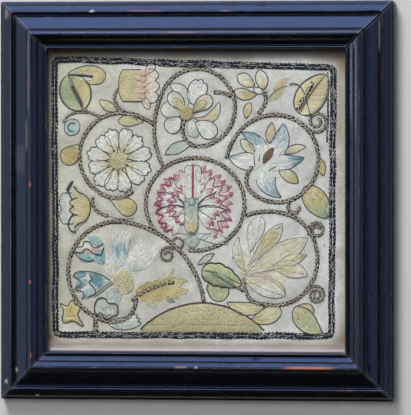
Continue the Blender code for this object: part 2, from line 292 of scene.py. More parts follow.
# Each kind of node used here: its type, its inputs in the order they are given, the output that
# is taken (all of them if none is named) and what is always set on it
NODE_COLUMNS = ("type", "inputs", "output", "always")
NODES = {
    "uv": ("UVMap", (), "UV", {}),
    "attribute": ("Attribute", (), "Fac", {}),
    "coordinates": ("TexCoord", (), "Object", {}),
    "axes": ("SeparateXYZ", (0,), None, {}),
    "stretched": ("Mapping", ("Vector", "Scale"), "Vector", {}),
    "noise": ("TexNoise", ("Vector", "Scale", "Detail", "Roughness", "Distortion"), "Fac", {}),
    "spread": ("MapRange", ("Value", "From Min", "From Max", "To Min", "To Max"), "Result",
               {"interpolation_type": "SMOOTHSTEP"}),
    "ramp": ("ValToRGB", ("Fac",), "Color", {}),
    "mix": ("Mix", (0, 6, 7), 2, {"data_type": "RGBA"}),
    "shade": ("Mix", (0, 6, 7), 2, {"data_type": "RGBA", "blend_type": "MULTIPLY"}),
    "bump": ("Bump", ("Height", "Strength", "Distance"), "Normal", {}),
    **{name: ("Math", (0, 1), "Value", {"operation": name.upper()})
       for name in ("add", "subtract", "multiply", "maximum", "minimum", "absolute", "sine")},
}


def give(tree, socket, value):
    """Links a socket to an output, or sets it. A hex colour is turned to linear."""
    if isinstance(value, bpy.types.NodeSocket):
        tree.links.new(value, socket)
    else:
        socket.default_value = (*linear(value), 1.0) if isinstance(value, str) else value


def add_node(tree, kind, *values, output=None, stops=(), **settings):
    """Adds a node from its row in NODES, gives its inputs these values and returns an output.
    stops are a ramp's (position, hex colour) pairs."""
    row = named_row(NODE_COLUMNS, NODES[kind])
    node = tree.nodes.new("ShaderNode" + row["type"])
    for key, value in {**row["always"], **settings}.items():
        setattr(node, key, value)
    for place, value in zip(row["inputs"], values):
        give(tree, node.inputs[place], value)
    if stops:
        elements = node.color_ramp.elements
        while len(elements) < len(stops):
            elements.new(0.5)
        for element, (position, colour) in zip(elements, stops):
            element.position = position
            element.color = (*linear(colour), 1.0)
    taken = output or row["output"]
    return node.outputs if taken is None else node.outputs[taken]


def new_material(name):
    """A new material, and the function that adds a node to it."""
    material = bpy.data.materials.new(name)
    material.use_nodes = True
    return material, partial(add_node, material.node_tree)


def with_sockets(material, values):
    """Links or sets the sockets of the material's shader by name."""
    for name, value in values.items():
        give(material.node_tree, material.node_tree.nodes["Principled BSDF"].inputs[name], value)
    return material


def ebonised_pearwood():
    """Pearwood stained black and waxed: softly glossy, so it takes the colour of the sky. Rubbed
    edges show the red-brown stain, then the bare wood. The grain runs along each length."""
    material, node = new_material("ebonised_pearwood")
    place = node("uv", uv_map="Moulding")
    crest = node("attribute", attribute_name="crest")
    bare = node("attribute", attribute_name="bare")

    # Noises whose marks lie so many times closer across the length than along it. Rubbing comes in
    # runs some 20 mm long, chips in spots about 2 mm long, and scraper ripple crosses each length
    # about every 1.6 mm. Then come the grain, the thickness of the wax, and fine cracks in the stain.
    runs, chips, ripple, grain, wax, cracks = [
        node("noise", node("stretched", place, (1.0, closer, 1.0)), per_metre, detail, roughness)
        for closer, per_metre, detail, roughness in (
            (6.0, 48, 4.0, 0.6), (1.8, 420, 2.0, 0.5), (0.12, 640, 1.0, 0.4),
            (22.0, 60, 5.0, 0.6), (2.5, 70, 4.0, 0.6), (3.0, 900, 2.0, 0.6),
        )
    ]
    rubbed = node("multiply", crest, node("spread", runs, 0.46, 0.72))
    chipped = node("multiply", crest, node("spread", chips, 0.66, 0.76))
    worn = node("ramp", grain, stops=((0.3, "#070709"), (0.7, "#0f0f12")))
    for wear, low, high, colour in (
        (rubbed, 0.2, 0.75, "#3a2420"), (rubbed, 0.72, 1.0, "#8a5a3e"), (chipped, 0.55, 1.0, "#a89c90"),
    ):
        worn = node("mix", node("spread", wear, low, high), worn, colour)
    ragged = node("spread", chips, 0.34, 0.56, 0.55, 1.0)
    # The wear colour also carries painted highlights along crests and painted reflections on inner slopes
    strength = node("attribute", attribute_name="wear", output="Alpha")
    marks = node("attribute", attribute_name="wear", output="Color")
    worn = node("mix", node("multiply", strength, ragged), worn, marks)
    raw_wood = node("ramp", grain, stops=((0.25, "#5b4330"), (0.75, "#8b6c4c")))
    # Wax is rubbed thin in places, and dust dulls it
    gloss = node("spread", wax, 0.3, 0.75, 0.2, 0.36)
    dull = node("maximum", node("spread", rubbed, 0.3, 0.8, 0.0, 0.6), node("multiply", bare, 0.8))
    relief = node("add", ripple, node("multiply", cracks, 0.5))
    relief = node("add", relief, node("multiply", grain, 0.6))
    return with_sockets(material, {
        "Base Color": node("mix", bare, worn, raw_wood),
        "Roughness": node("maximum", gloss, dull),
        "Normal": node("bump", relief, 0.32, 0.12 * MM),
        "IOR": 1.5,
        "Coat Weight": 0.3,
        "Coat Roughness": 0.25,
    })


def aged_linen():
    """Bleached plain-weave linen gone grey, drawn with threads 0.7 mm apart, a little coarser
    than real so that the weave shows. Brown foxing creeps in from the rebate and the corners.
    Shade is painted beside the stems, in the weave's hollows and under the top and left lengths,
    with a painted lilac highlight on the roll along the bottom."""
    material, node = new_material("aged_linen")
    place = node("coordinates")
    axes = node("axes", place)
    cloud = node("noise", place, 26, 5.0, 0.6)
    fine = node("noise", place, 240, 4.0, 0.65)
    tone = node("ramp", cloud, stops=((0.3, "#cdcec9"), (0.5, "#dadcd8"), (0.7, "#e9ecea")))
    tone = node("mix", node("spread", fine, 0.38, 0.7, 0.0, 0.34), tone, "#a8a8a4")
    warm = node("spread", axes["X"], 0.06, -0.11, 0.0, 0.8)
    tone = node("mix", warm, tone, node("shade", 1.0, tone, "#f3efdf"))
    # How near the edge of the sight a place is, by side, broken up by the cloud noise
    reach_x, reach_y = [
        node("subtract", size / 2 * MM, node("absolute", axes[axis]))
        for axis, size in (("X", SIGHT_WIDTH), ("Y", SIGHT_HEIGHT))
    ]
    ragged = node("add", node("minimum", reach_x, reach_y), node("spread", cloud, 0.3, 0.7, -0.004, 0.004))
    tone = node("mix", node("spread", ragged, 0.0, 0.012, 0.75, 0.0), tone, "#a49a84")
    # Painted shade, with some dirt, in the hollows beside the stems
    beside = node("attribute", attribute_name="beside_stems")
    tone = node("mix", node("multiply", beside, node("spread", fine, 0.3, 0.6, 0.2, 0.5)), tone, "#9a968c")
    corner = node("add", reach_x, reach_y)
    tone = node("mix", node("spread", corner, 0.004, 0.03, 0.95, 0.0), tone, "#776546")
    # Bands along the sides, in metres: where each starts, where it is strongest, and how strong
    for axis, start, full, strength, stain in (
        # Brown stain with painted shade along the top
        ("Y", 0.104, 0.114, 0.8, "#7f705b"),
        # Painted shadow under the top length, deepest at its edge
        ("Y", 0.108, 0.1142, 0.95, "#2b2723"),
        # Painted shadow along the left edge
        ("X", -0.1088, -0.1112, 0.35, "#5c564c"),
        # Darker and pinker towards the bottom
        ("Y", -0.1045, -0.109, 0.6, "#b9aaa5"),
        # Painted lilac highlight on the cloth's roll along the bottom edge
        ("Y", -0.1120, -0.1128, 0.7, "#bdbac4"),
    ):
        tone = node("mix", node("spread", axes[axis], start, full, 0.0, strength), tone, stain)
    spots = node("noise", place, 130, 2.0, 0.5)
    tone = node("mix", node("spread", spots, 0.72, 0.82, 0.0, 0.5), tone, "#8f7f66")
    # Plain weave: warp and weft waves, one over the other in turn, with slubs along both
    thread = 2 * math.pi / (0.7 * MM)
    weave = node("multiply", *[node("sine", node("multiply", axes[axis], thread)) for axis in "XY"])
    slubs = node("add", *[
        node("noise", node("stretched", place, along), 300, 2.0, 0.5)
        for along in ((1.0, 9.0, 1.0), (9.0, 1.0, 1.0))
    ])
    relief = node("add", weave, node("multiply", slubs, 2.2))
    # Painted shade: the weave's hollows are drawn darker
    hollows = node("spread", relief, 0.6, 3.4, 0.5, 0.0)
    return with_sockets(material, {
        "Base Color": node("mix", hollows, tone, node("shade", 1.0, tone, "#b4afa4")),
        "Normal": node("bump", relief, 0.55, 0.15 * MM),
        "Roughness": 0.92,
        "Sheen Weight": 0.08,
    })


def crewel_wool():
    """Two-ply worsted wool, dyed with plants and faded. Each stitch brings its own shade, mottled
    a little, and the twist shows as fine slanting ridges. Fibres give it a soft sheen."""
    material, node = new_material("crewel_wool")
    place = node("coordinates")
    thread = node("axes", node("uv", uv_map="Thread"))
    tone = node("attribute", attribute_name="yarn", output="Color")
    fuzz = node("noise", place, 900, 3.0, 0.6)
    tone = node("mix", node("spread", fuzz, 0.3, 0.7, 0.3, 0.0), tone, node("shade", 1.0, tone, "#a8a49c"))
    soil = node("noise", place, 45, 4.0, 0.6)
    tone = node("mix", node("spread", soil, 0.55, 0.8, 0.0, 0.25), tone, "#8b8272")
    # The ply turns once in about 1.1 mm
    turn = node("add", node("multiply", thread["X"], 5.7), node("multiply", thread["Y"], 2.4))
    return with_sockets(material, {
        "Base Color": tone,
        "Normal": node("bump", node("add", node("sine", turn), fuzz), 0.5, 0.06 * MM),
        "Roughness": 0.7,
        "Specular IOR Level": 0.25,
        "Sheen Weight": 0.15,
    })


def sawn_pine():
    """Softwood board, sawn and left plain: pale bands of early wood between darker late wood."""
    material, node = new_material("sawn_pine")
    place = node("coordinates")
    rings = node("noise", node("stretched", place, (1.0, 0.08, 1.0)), 130, 3.0, 0.55, 0.6)
    fibre = node("noise", node("stretched", place, (1.0, 0.02, 1.0)), 1500, 3.0, 0.6)
    tone = node("ramp", rings, stops=((0.35, "#8d6c45"), (0.5, "#b08a5b"), (0.65, "#9a7448")))
    tone = node("mix", node("spread", fibre, 0.4, 0.7, 0.0, 0.4), tone, "#6f5538")
    dust = node("noise", place, 20, 4.0, 0.6)
    return with_sockets(material, {
        "Base Color": node("mix", node("spread", dust, 0.45, 0.75, 0.0, 0.45), tone, "#6b6254"),
        "Normal": node("bump", fibre, 0.4, 0.2 * MM),
        "Roughness": 0.8,
    })


# Frame

def eased_face(step=0.33, easing=0.28):
    """The moulding's face as (distance, height), even steps along it, its corners eased by a
    running average about 0.3 mm wide. Also how proud each place stands, from 0 to 1."""
    table = np.array(MOULDING_FACE)
    length = np.concatenate(([0], np.cumsum(np.hypot(*np.diff(table, axis=0).T))))
    even = np.linspace(0, length[-1], round(length[-1] / step) + 1)
    sharp = np.column_stack([np.interp(even, length, table[:, axis]) for axis in (0, 1)])
    reach = round(3 * easing / step)
    weight = np.exp(-0.5 * (np.arange(-reach, reach + 1) * step / easing) ** 2)
    weight /= weight.sum()
    padded = np.vstack((
        2 * sharp[0] - sharp[reach:0:-1], sharp, 2 * sharp[-1] - sharp[-2:-reach - 2:-1],
    ))
    soft = np.column_stack([np.convolve(padded[:, axis], weight, "valid") for axis in (0, 1)])
    heading = np.unwrap(np.arctan2(np.gradient(soft[:, 1]), np.gradient(soft[:, 0])))
    turn = -np.gradient(heading) / step
    return soft, np.clip(turn / 0.9, 0, 1)


def wear_and_painted_light_marks(length, x, u, left, right):
    """The colour and strength of wear, and of painted highlights and painted reflections, at each point. A
    mark fades as exp(-(d / half)**6) along the length and exp(-(d / half)**4) across it, and the mitred
    ends are rubbed pale for 1 mm."""
    mitre_shade, mitre_strength = "#85868d", 0.28
    ends = np.minimum(x - left, right - x)
    total = mitre_strength * np.exp(-(ends**2)) * (u > 0)
    colour = np.broadcast_to(linear(mitre_shade), (*x.shape, 3)) * total[..., None]
    way = 1 if length in ("top", "left") else -1
    for row in WEAR_AND_PAINTED_LIGHT:
        mark = named_row(MARK_COLUMNS, row)
        if mark["length"] != length:
            continue
        along = (np.abs(x - way * mark["along"]) / mark["half_long"]) ** 6
        across = ((u - mark["out"]) / mark["half_wide"]) ** 4
        weight = mark["strength"] * np.exp(-np.minimum(along + across, 50))
        colour = colour + linear(mark["shade"]) * weight[..., None]
        total = total + weight
    shade = colour / np.maximum(total, 1e-6)[..., None]
    return shade.reshape(-1, 3), np.clip(total, 0, 1).ravel()


def make_moulding(name, sight_length, sight_offset, turn_deg, left_gap, right_gap, material, seed):
    """The closed section (face, side, back, rebate) carried along a mitred length. A point at
    distance u from the sight edge runs from -(half + u) to half + u, less half the mitre's gap.
    The face is lowered by small dents, mostly on its crests."""
    stations, dents = 130, 46
    face, proud = eased_face()
    rest = np.array((
        (RAIL_WIDTH, 9.0), (RAIL_WIDTH, 1.0), (RAIL_WIDTH - 0.4, 0.0), (24.0, 0.0), (REBATE_WIDTH + 0.3, 0.0),
        (REBATE_WIDTH, 0.4), (REBATE_WIDTH, 6.0), (REBATE_WIDTH, REBATE_DEPTH), (4.0, REBATE_DEPTH),
        (0.3, REBATE_DEPTH), (0.0, REBATE_DEPTH + 0.4),
    ))
    section = np.vstack((face, rest))
    crest = np.concatenate((proud, np.zeros(len(rest))))
    bare = np.concatenate((np.zeros(len(face)), np.zeros(2), np.ones(len(rest) - 2)))
    count = len(section)
    along = np.linspace(0, 1, stations)[:, None]
    u, z = section[:, 0][None, :], section[:, 1][None, :]
    left = -(sight_length / 2 + u - left_gap / 2 * math.sqrt(2))
    right = sight_length / 2 + u - right_gap / 2 * math.sqrt(2)
    x = left + (right - left) * along
    y = np.broadcast_to(u, x.shape).copy()
    z = np.broadcast_to(z, x.shape).copy()
    random = np.random.default_rng(seed)
    on_face = np.concatenate((np.ones(len(face)), np.zeros(len(rest))))
    # Hand-scraped lengths are never quite even
    z -= on_face * 0.10 * (1 + drift(x, y * 3, 60, seed)) / 2
    for _ in range(dents):
        at_x = random.uniform(-sight_length / 2 - 30, sight_length / 2 + 30)
        at_u = section[random.choice(len(face), p=(0.05 + proud) / (0.05 + proud).sum()), 0]
        size, depth = random.uniform(0.8, 2.6), random.uniform(0.08, 0.38)
        z -= on_face * depth * np.exp(-((x - at_x) ** 2 / 2 + (y - at_u) ** 2 * 2) / size**2)
    turn = math.radians(turn_deg)
    y = y + sight_offset
    across = x * math.cos(turn) - y * math.sin(turn)
    up = x * math.sin(turn) + y * math.cos(turn)
    points = np.stack((across, up, z), -1).reshape(-1, 3)
    first = list(range(count))
    last = [(stations - 1) * count + index for index in range(count)]
    piece = mesh_piece(name, points, grid_faces(stations, count, wrap_columns=True), material,
                       (list(reversed(first)), last))
    girth = np.concatenate(([0], np.cumsum(np.hypot(*np.diff(section, axis=0).T))))
    girth = np.broadcast_to(girth, x.shape)
    longest = FRAME_HEIGHT + 1
    share = (x.ravel() + longest / 2) / longest
    give_uv(piece, "OFBake", np.column_stack((share, girth.ravel() / (girth.max() + 12))))
    give_uv(piece, "Moulding", np.column_stack((x.ravel() * MM + seed, girth.ravel() * MM)))
    give_value(piece, "crest", np.broadcast_to(crest, x.shape).ravel())
    give_value(piece, "bare", np.broadcast_to(bare, x.shape).ravel())
    # The wear colour holds real wear, and also painted highlights along some crests and painted reflections
    # on inner slopes
    marks = wear_and_painted_light_marks(name.removeprefix("moulding_"), x, np.where(on_face > 0, u, -50.0), left, right)
    give_colour(piece, "wear", *marks)
    piece.data.set_sharp_from_angle(angle=math.radians(60))
    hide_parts(name.replace("moulding", "rail"))
    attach(piece, "root")


# Cloth

def make_cloth(material, pull, cells=165, fine_rows=44, fine_share=0.072):
    """A grid over the whole sheet at the worked cloth's level, thickened downwards. Its rows are
    closer along the bottom, where the cloth rolls."""
    fine = np.linspace(0, fine_share, fine_rows + 1)[:-1]
    rows = np.concatenate((fine, np.linspace(fine_share, 1, cells + 1)))
    x, y = np.meshgrid((np.linspace(0, 1, cells + 1) - 0.5) * CLOTH_WIDTH, (rows - 0.5) * CLOTH_HEIGHT)
    points = np.stack((x, y, worked_level(x, y, pull)), -1).reshape(-1, 3)
    piece = mesh_piece("linen_ground", points, grid_faces(len(rows), cells + 1), material)
    flat = np.column_stack((x.ravel() / CLOTH_WIDTH + 0.5, y.ravel() / CLOTH_HEIGHT + 0.5))
    give_uv(piece, "OFBake", flat * 0.98 + 0.01)
    # How near the stems each point is, read by the linen for its painted shade and dirt beside them
    give_value(piece, "beside_stems", sampled(pull, x, y).ravel())
    thick = piece.modifiers.new("thickness", "SOLIDIFY")
    thick.thickness = LINEN_THICKNESS * MM
    thick.offset = -1.0
    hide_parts("embroidered_cloth")
    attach(piece, "root")
    return piece


# Stitches

class Workbasket:
    """Gathers stitches, each a course of STATIONS points with a width, a rise and a shade."""

    def __init__(self, pull):
        self.pull = pull
        self.courses, self.widths, self.rises, self.shades, self.lifts = [], [], [], [], []

    def add(self, course, width, rise, shade, layer=0):
        """course is (stitches, STATIONS, 2) in millimetres; the others fit (stitches,), and shade
        fits (stitches, 3). Work in a higher layer lies over the work below it."""
        count = len(course)
        self.lifts.append(np.full(count, LAYER_RISE * layer))
        self.courses.append(np.asarray(course, dtype=float))
        self.widths.append(np.broadcast_to(width, (count, STATIONS)).astype(float))
        self.rises.append(np.broadcast_to(rise, (count, STATIONS)).astype(float))
        self.shades.append(np.broadcast_to(shade, (count, 3)).astype(float))

    def work(self, name, material, sides=3):
        """Makes every stitch a closed half-round thread: across it, sides points from one edge
        over the top to the other, each at width * -cos(a) / 2 out and rise * sin(a) up."""
        course = np.concatenate(self.courses) + WORK_CENTRE
        width, rise = np.concatenate(self.widths), np.concatenate(self.rises)
        shade = np.concatenate(self.shades)
        count = len(course)
        tangent = np.gradient(course, axis=1)
        tangent /= np.maximum(np.linalg.norm(tangent, axis=2, keepdims=True), 1e-9)
        normal = np.stack((-tangent[..., 1], tangent[..., 0]), -1)
        swell = np.array((0.7, 0.97, 1.0, 0.97, 0.7))
        arch = np.array((0.05, 0.8, 1.0, 0.8, 0.05))
        angle = np.linspace(0, math.pi, sides)
        out = -np.cos(angle) / 2
        up = np.sin(angle)
        # Threads lie a little above the cloth, and their edges are sunk into it
        clear, sunk = 0.06, 0.16
        half = (width * swell)[..., None, None] * normal[:, :, None, :] * out[None, None, :, None]
        flat = course[:, :, None, :] + half
        level = worked_level(course[..., 0], course[..., 1], self.pull)[..., None]
        level = level + np.concatenate(self.lifts)[:, None, None]
        lift = (rise * arch)[..., None] * up[None, None, :] + clear - sunk * (1 - up)
        points = np.concatenate((flat, (level + lift)[..., None]), -1)
        ring = grid_faces(STATIONS, sides, wrap_columns=True)
        size = STATIONS * sides
        every = np.arange(count)[:, None, None] * size
        quads = (ring[None] + every).reshape(-1, 4)
        start = np.arange(sides)[::-1][None] + np.arange(count)[:, None] * size
        end = np.arange(size - sides, size)[None] + np.arange(count)[:, None] * size
        piece = mesh_piece(name, points.reshape(-1, 3), quads, material, [*start.tolist(), *end.tolist()])
        steps = np.linalg.norm(np.diff(course, axis=1), axis=2)
        run = np.concatenate((np.zeros((count, 1)), np.cumsum(steps, 1)), 1)
        run = np.broadcast_to(run[..., None], (count, STATIONS, sides))
        side = np.broadcast_to(angle[None, None, :], run.shape)
        flat_map = points[..., :2].reshape(-1, 2) / np.array((SIGHT_WIDTH, SIGHT_HEIGHT)) + 0.5
        give_uv(piece, "OFBake", flat_map)
        give_uv(piece, "Thread", np.column_stack((run.ravel(), side.ravel())))
        give_colour(piece, "yarn", np.repeat(shade, size, axis=0))
        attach(piece, "root")
        return piece


def shade_of(name, count, wander=0.09):
    """That yarn's colour for each stitch, lighter or darker by up to wander, with a slight cast."""
    light = 1 + RNG.uniform(-wander, wander, (count, 1))
    cast = 1 + RNG.uniform(-0.025, 0.025, (count, 3))
    return linear(YARN[name]) * light * cast


def between_shades(names, place, stops):
    """The colour at each place along stops, where each named yarn is at its own stop."""
    colours = np.array([linear(YARN[name]) for name in names.split()])
    return np.stack([np.interp(place, stops, colours[:, band]) for band in range(3)], -1)


def blended(names, share):
    """Shades evenly spaced from share 0 to 1, each stitch taking one or a mix of two."""
    last = len(names.split()) - 1
    place = np.clip(share + RNG.uniform(-0.16, 0.16, share.shape), 0, 1) * last
    colours = between_shades(names, place, np.arange(last + 1))
    return colours * (1 + RNG.uniform(-0.17, 0.13, (*share.shape, 1)))


def evenly(path, closed=False):
    """Returns (length, function of distance giving place and left-hand normal) for a path, from
    points every half millimetre along it."""
    path = np.asarray(path, dtype=float)
    if closed:
        path = np.vstack((path, path[:1]))
    run = np.concatenate(([0], np.cumsum(np.hypot(*np.diff(path, axis=0).T))))
    fine = np.linspace(0, run[-1], max(8, round(run[-1] / 0.5)))
    spots = np.column_stack([np.interp(fine, run, path[:, axis]) for axis in (0, 1)])
    tangent = np.gradient(spots, axis=0)
    tangent /= np.maximum(np.linalg.norm(tangent, axis=1, keepdims=True), 1e-9)

    def at(distance):
        distance = np.mod(distance, run[-1]) if closed else np.clip(distance, 0, run[-1])
        spot = np.stack([np.interp(distance, fine, spots[:, axis]) for axis in (0, 1)], -1)
        along = np.stack([np.interp(distance, fine, tangent[:, axis]) for axis in (0, 1)], -1)
        return spot, np.stack((-along[..., 1], along[..., 0]), -1)

    return run[-1], at


def stem_stitch(basket, path, shade, width=0.8, rise=0.5, pitch=1.7, shifts=(0.0,), closed=False, lap=1.6,
                layer=0):
    """Lines of slanting stitches from the line's right edge to its left as it goes forward, each
    lap pitches long. There is a line for each of shifts, moved sideways by that much."""
    length, at = evenly(path, closed)
    count = max(2, round(length / pitch))
    start = np.arange(count) * length / count
    share = np.linspace(0, 1, STATIONS)
    spot, normal = at(start[:, None] + share * pitch * lap)
    for shift in shifts:
        aside = shift + (share - 0.5) * width * 0.7 + RNG.normal(0, 0.05, (count, 1))
        basket.add(spot + normal * aside[..., None], width, rise, shade_of(shade, count, 0.16), layer)


def braid(basket, path, shades, width, rise, period, shift=0.0, closed=False, fleck=0.85, layer=0):
    """A two-strand braid in three shades: dark, pale, middle. Over a low dark core lie two rows of
    long stitches, half a period apart, each slanting from its own edge to just past the middle.
    fleck is the share of them that are truly pale, or a function that gives it by place; the
    others take the middle shade."""
    dark, pale, medium = shades.split()
    length, at = evenly(path, closed)
    share = np.linspace(0, 1, STATIONS)
    core = max(2, round(length / (0.8 * period)))
    start = np.arange(core) * length / core
    spot, normal = at(start[:, None] + share * 1.25 * length / core)
    course = spot + normal * (shift + RNG.normal(0, 0.04 * width, (core, 1)))[..., None]
    thick = width * RNG.uniform(0.88, 1.1, (core, 1))
    basket.add(course, thick, rise * 0.5, shade_of(dark, core, 0.25), layer)
    count = max(2, round(length / period))
    step = length / count
    for side in (-1, 1):
        start = (np.arange(count) + 0.25 + 0.25 * side + RNG.uniform(-0.08, 0.08, count)) * step
        if not closed:
            start = np.clip(start, 0, length - step)
        spot, normal = at(start[:, None] + share * step * RNG.uniform(0.86, 1.08, (count, 1)))
        aside = shift + side * width * (0.30 - 0.38 * share)
        course = spot + normal * aside[:, None] + RNG.normal(0, 0.05, (count, 1, 2))
        chance = fleck(spot[:, 2]) if callable(fleck) else fleck
        lucky = (RNG.random(count) < chance)[:, None]
        shade = np.where(lucky, shade_of(pale, count, 0.22), shade_of(medium, count, 0.22))
        basket.add(course, width * RNG.uniform(0.26, 0.34, (count, 1)), rise, shade, layer)


# Petals and leaves

PETAL_COLUMNS = ("base_x", "base_y", "tip_x", "tip_y", "half_width", "bow", "fullest", "roundness", "shades")
PETAL_USUAL = {
    "open_tip": False, "lobes": 1, "depth": 0.0, "crown": 0.12, "toothed": False, "side_lobes": 0,
    "side_depth": 0.0, "hook": 0.0, "layer": 0, "open_base": 0, "outline": "slate", "outline_width": 0.95,
}


def petal(row, more):
    """A petal or leaf from its row of sizes. More sizes: open_tip keeps the far end wide, lobes
    and depth cut that end into lobes, toothed makes them pointed, side_lobes and side_depth do
    the same to its sides. layer lifts it over other work, and open_base is how many points of
    its outline are left off at the base."""
    made = {**PETAL_USUAL, **named_row(PETAL_COLUMNS, row), **more}
    made["base"] = np.array((made["base_x"], made["base_y"]))
    made["chord"] = np.array((made["tip_x"], made["tip_y"])) - made["base"]
    made["length"] = float(np.linalg.norm(made["chord"]))
    return made


def cut(phase, toothed):
    """0 at the bottom of each notch and 1 at the top of each lobe."""
    if toothed:
        return 1 - np.abs(2 * np.mod(phase, 1) - 1)
    return np.abs(np.sin(math.pi * phase)) ** 0.7


def petal_place(leaf, s, q):
    """The place on a petal at s from base to tip and q from -1 to 1 across. Its middle line is a
    parabola with the given bow, and hook draws its tip aside. Its half width is
    sin(pi * s**f) ** roundness of half_width, with f set so that it is fullest where the row
    says, or holds its width if open_tip."""
    if leaf["depth"] or leaf["open_tip"]:
        notched = leaf["depth"] * (1 - cut(leaf["lobes"] * (q + 1) / 2, leaf["toothed"]))
        s = s * (1 - leaf["crown"] * q**2 - notched)
    if leaf["open_tip"]:
        swell = np.sin(math.pi / 2 * np.clip(s / leaf["fullest"], 0, 1)) ** leaf["roundness"]
    else:
        power = math.log(0.5) / math.log(leaf["fullest"])
        swell = np.abs(np.sin(math.pi * np.clip(s, 0, 1) ** power)) ** leaf["roundness"]
    if leaf["side_lobes"]:
        swell = swell * (1 - leaf["side_depth"] * (1 - cut(leaf["side_lobes"] * s, leaf["toothed"])))
    unit = leaf["chord"] / leaf["length"]
    across = np.array((-unit[1], unit[0]))
    bow = leaf["bow"] * 4 * s * (1 - s) + leaf["hook"] * s**3
    slope = (leaf["bow"] * 4 * (1 - 2 * s) + 3 * leaf["hook"] * s**2) / leaf["length"]
    middle = leaf["base"] + s[..., None] * leaf["chord"] + bow[..., None] * across
    lean = across - slope[..., None] * unit
    lean = lean / np.linalg.norm(lean, axis=-1, keepdims=True)
    return middle + (q * swell * leaf["half_width"])[..., None] * lean


def long_and_short(basket, leaf, row_length=5.5, rise=0.34):
    """Fills a petal with threads along it, in rows whose ends are staggered. Where it narrows,
    only every other thread goes on."""
    columns = max(3, math.ceil(2 * leaf["half_width"] / THREAD))
    rows = max(1, round(leaf["length"] / row_length))
    q = (np.arange(columns) + 0.5) / columns * 2 - 1
    stagger = RNG.uniform(0, 1, (columns, 1)) + RNG.uniform(-0.15, 0.15, (columns, rows + 2))
    cuts = np.clip((np.arange(-1, rows + 1) + stagger) / rows, 0, 1)
    start, end = cuts[:, :-1], cuts[:, 1:]
    share = np.linspace(0, 1, STATIONS)
    s = start[..., None] * (1 - share) + (end + 0.25 / rows)[..., None] * share
    s = np.clip(s, 0.02, 0.99)
    q_all = np.broadcast_to(q[:, None, None], s.shape) * 0.97
    course = petal_place(leaf, s, q_all)
    gap = np.linalg.norm(petal_place(leaf, s, q_all + 2 / columns) - course, axis=-1)
    middle_gap = gap[..., 2]
    crowd = np.where(middle_gap > 0.5 * THREAD, 1, np.where(middle_gap > 0.25 * THREAD, 2, 4))
    keep = (end - start > 0.04) & (np.arange(columns)[:, None] % crowd == 0)
    width = np.clip(gap * crowd[..., None] * 1.45, 0.25, THREAD * 1.4)
    shade = blended(leaf["shades"], (start + end) / 2)
    lift = rise * RNG.uniform(0.8, 1.2, start.shape)
    basket.add(course[keep], width[keep], lift[keep][:, None], shade[keep], leaf["layer"])


def slanted_satin(basket, leaf, rise=0.36, slant=0.22):
    """Fills a leaf with threads slanting forward from its middle line to each edge."""
    rows = max(4, round(leaf["length"] * (1 + slant) / THREAD / 0.92))
    s = np.linspace(-slant * 0.9, 0.99, rows)
    share = np.linspace(0.03, 0.97, STATIONS)
    for side, names in ((-1, leaf.get("right_shades", leaf["shades"])), (1, leaf["shades"])):
        reach = share * RNG.uniform(0.94, 1.0, (rows, 1))
        lean = np.clip(s[:, None] + slant * reach, 0.012, 0.99)
        course = petal_place(leaf, lean, side * reach)
        keep = np.linalg.norm(course[:, -1] - course[:, 0], axis=-1) > 0.5
        shade = blended(names, np.clip(s, 0, 1))
        lift = rise * RNG.uniform(0.85, 1.15, (int(keep.sum()), 1))
        basket.add(course[keep], THREAD * 1.25, lift, shade[keep], leaf["layer"])


def outline_path(leaf, points=40):
    """Round a petal: up its right side, across its far end, and down its left side."""
    s = np.linspace(0.0, 1, points)
    q = np.linspace(-1, 1, points if leaf["open_tip"] else 3)[1:-1]
    s_all = np.concatenate((s, np.ones_like(q), s[::-1]))
    q_all = np.concatenate((-np.ones_like(s), q, np.ones_like(s)))
    return petal_place(leaf, s_all, q_all)


def work_petal(fills, lines, row, satin=False, outlined=True, **more):
    """Fills one petal or leaf, works its outline, and returns the path of its edge."""
    leaf = petal(row, more)
    if satin:
        slanted_satin(fills, leaf)
    else:
        long_and_short(fills, leaf)
    edge = outline_path(leaf)
    if outlined:
        off = leaf["open_base"]
        stem_stitch(lines, edge[off:len(edge) - off], leaf["outline"], leaf["outline_width"],
                    layer=leaf["layer"])
    return edge


def work_petals(fills, lines, rows, **more):
    """Works a table of petals. A row may end with more sizes, or other ones, of its own."""
    for row in rows:
        own = row[-1] if isinstance(row[-1], dict) else {}
        work_petal(fills, lines, row, **{**more, **own})


def knots(basket, x, y, radius, count, shades, size=1.15, layer=0):
    """French knots in a sunflower spiral: two short, fat stitches crossed over each other."""
    usual, other = shades.split()
    turn = np.arange(count) * math.radians(137.5)
    reach = radius * np.sqrt((np.arange(count) + 0.5) / count)
    spot = np.column_stack((x + reach * np.cos(turn), y + reach * np.sin(turn)))
    for quarter in (0.4, 1.97):
        angle = quarter + RNG.uniform(-0.4, 0.4, count)
        way = np.column_stack((np.cos(angle), np.sin(angle)))
        course = spot[:, None] + way[:, None] * (np.linspace(-0.5, 0.5, STATIONS) * size)[None, :, None]
        shade = np.where(RNG.random((count, 1)) < 0.6, shade_of(usual, count), shade_of(other, count))
        basket.add(course, size * 0.8, size * 0.8, shade, layer)


# Paths

def around(x, y, reach, angle, tall=1.0):
    """Places at this distance and angle in radians from a centre, stretched upwards by tall."""
    return np.column_stack((x + reach * np.cos(angle), y + reach * np.sin(angle) * tall))


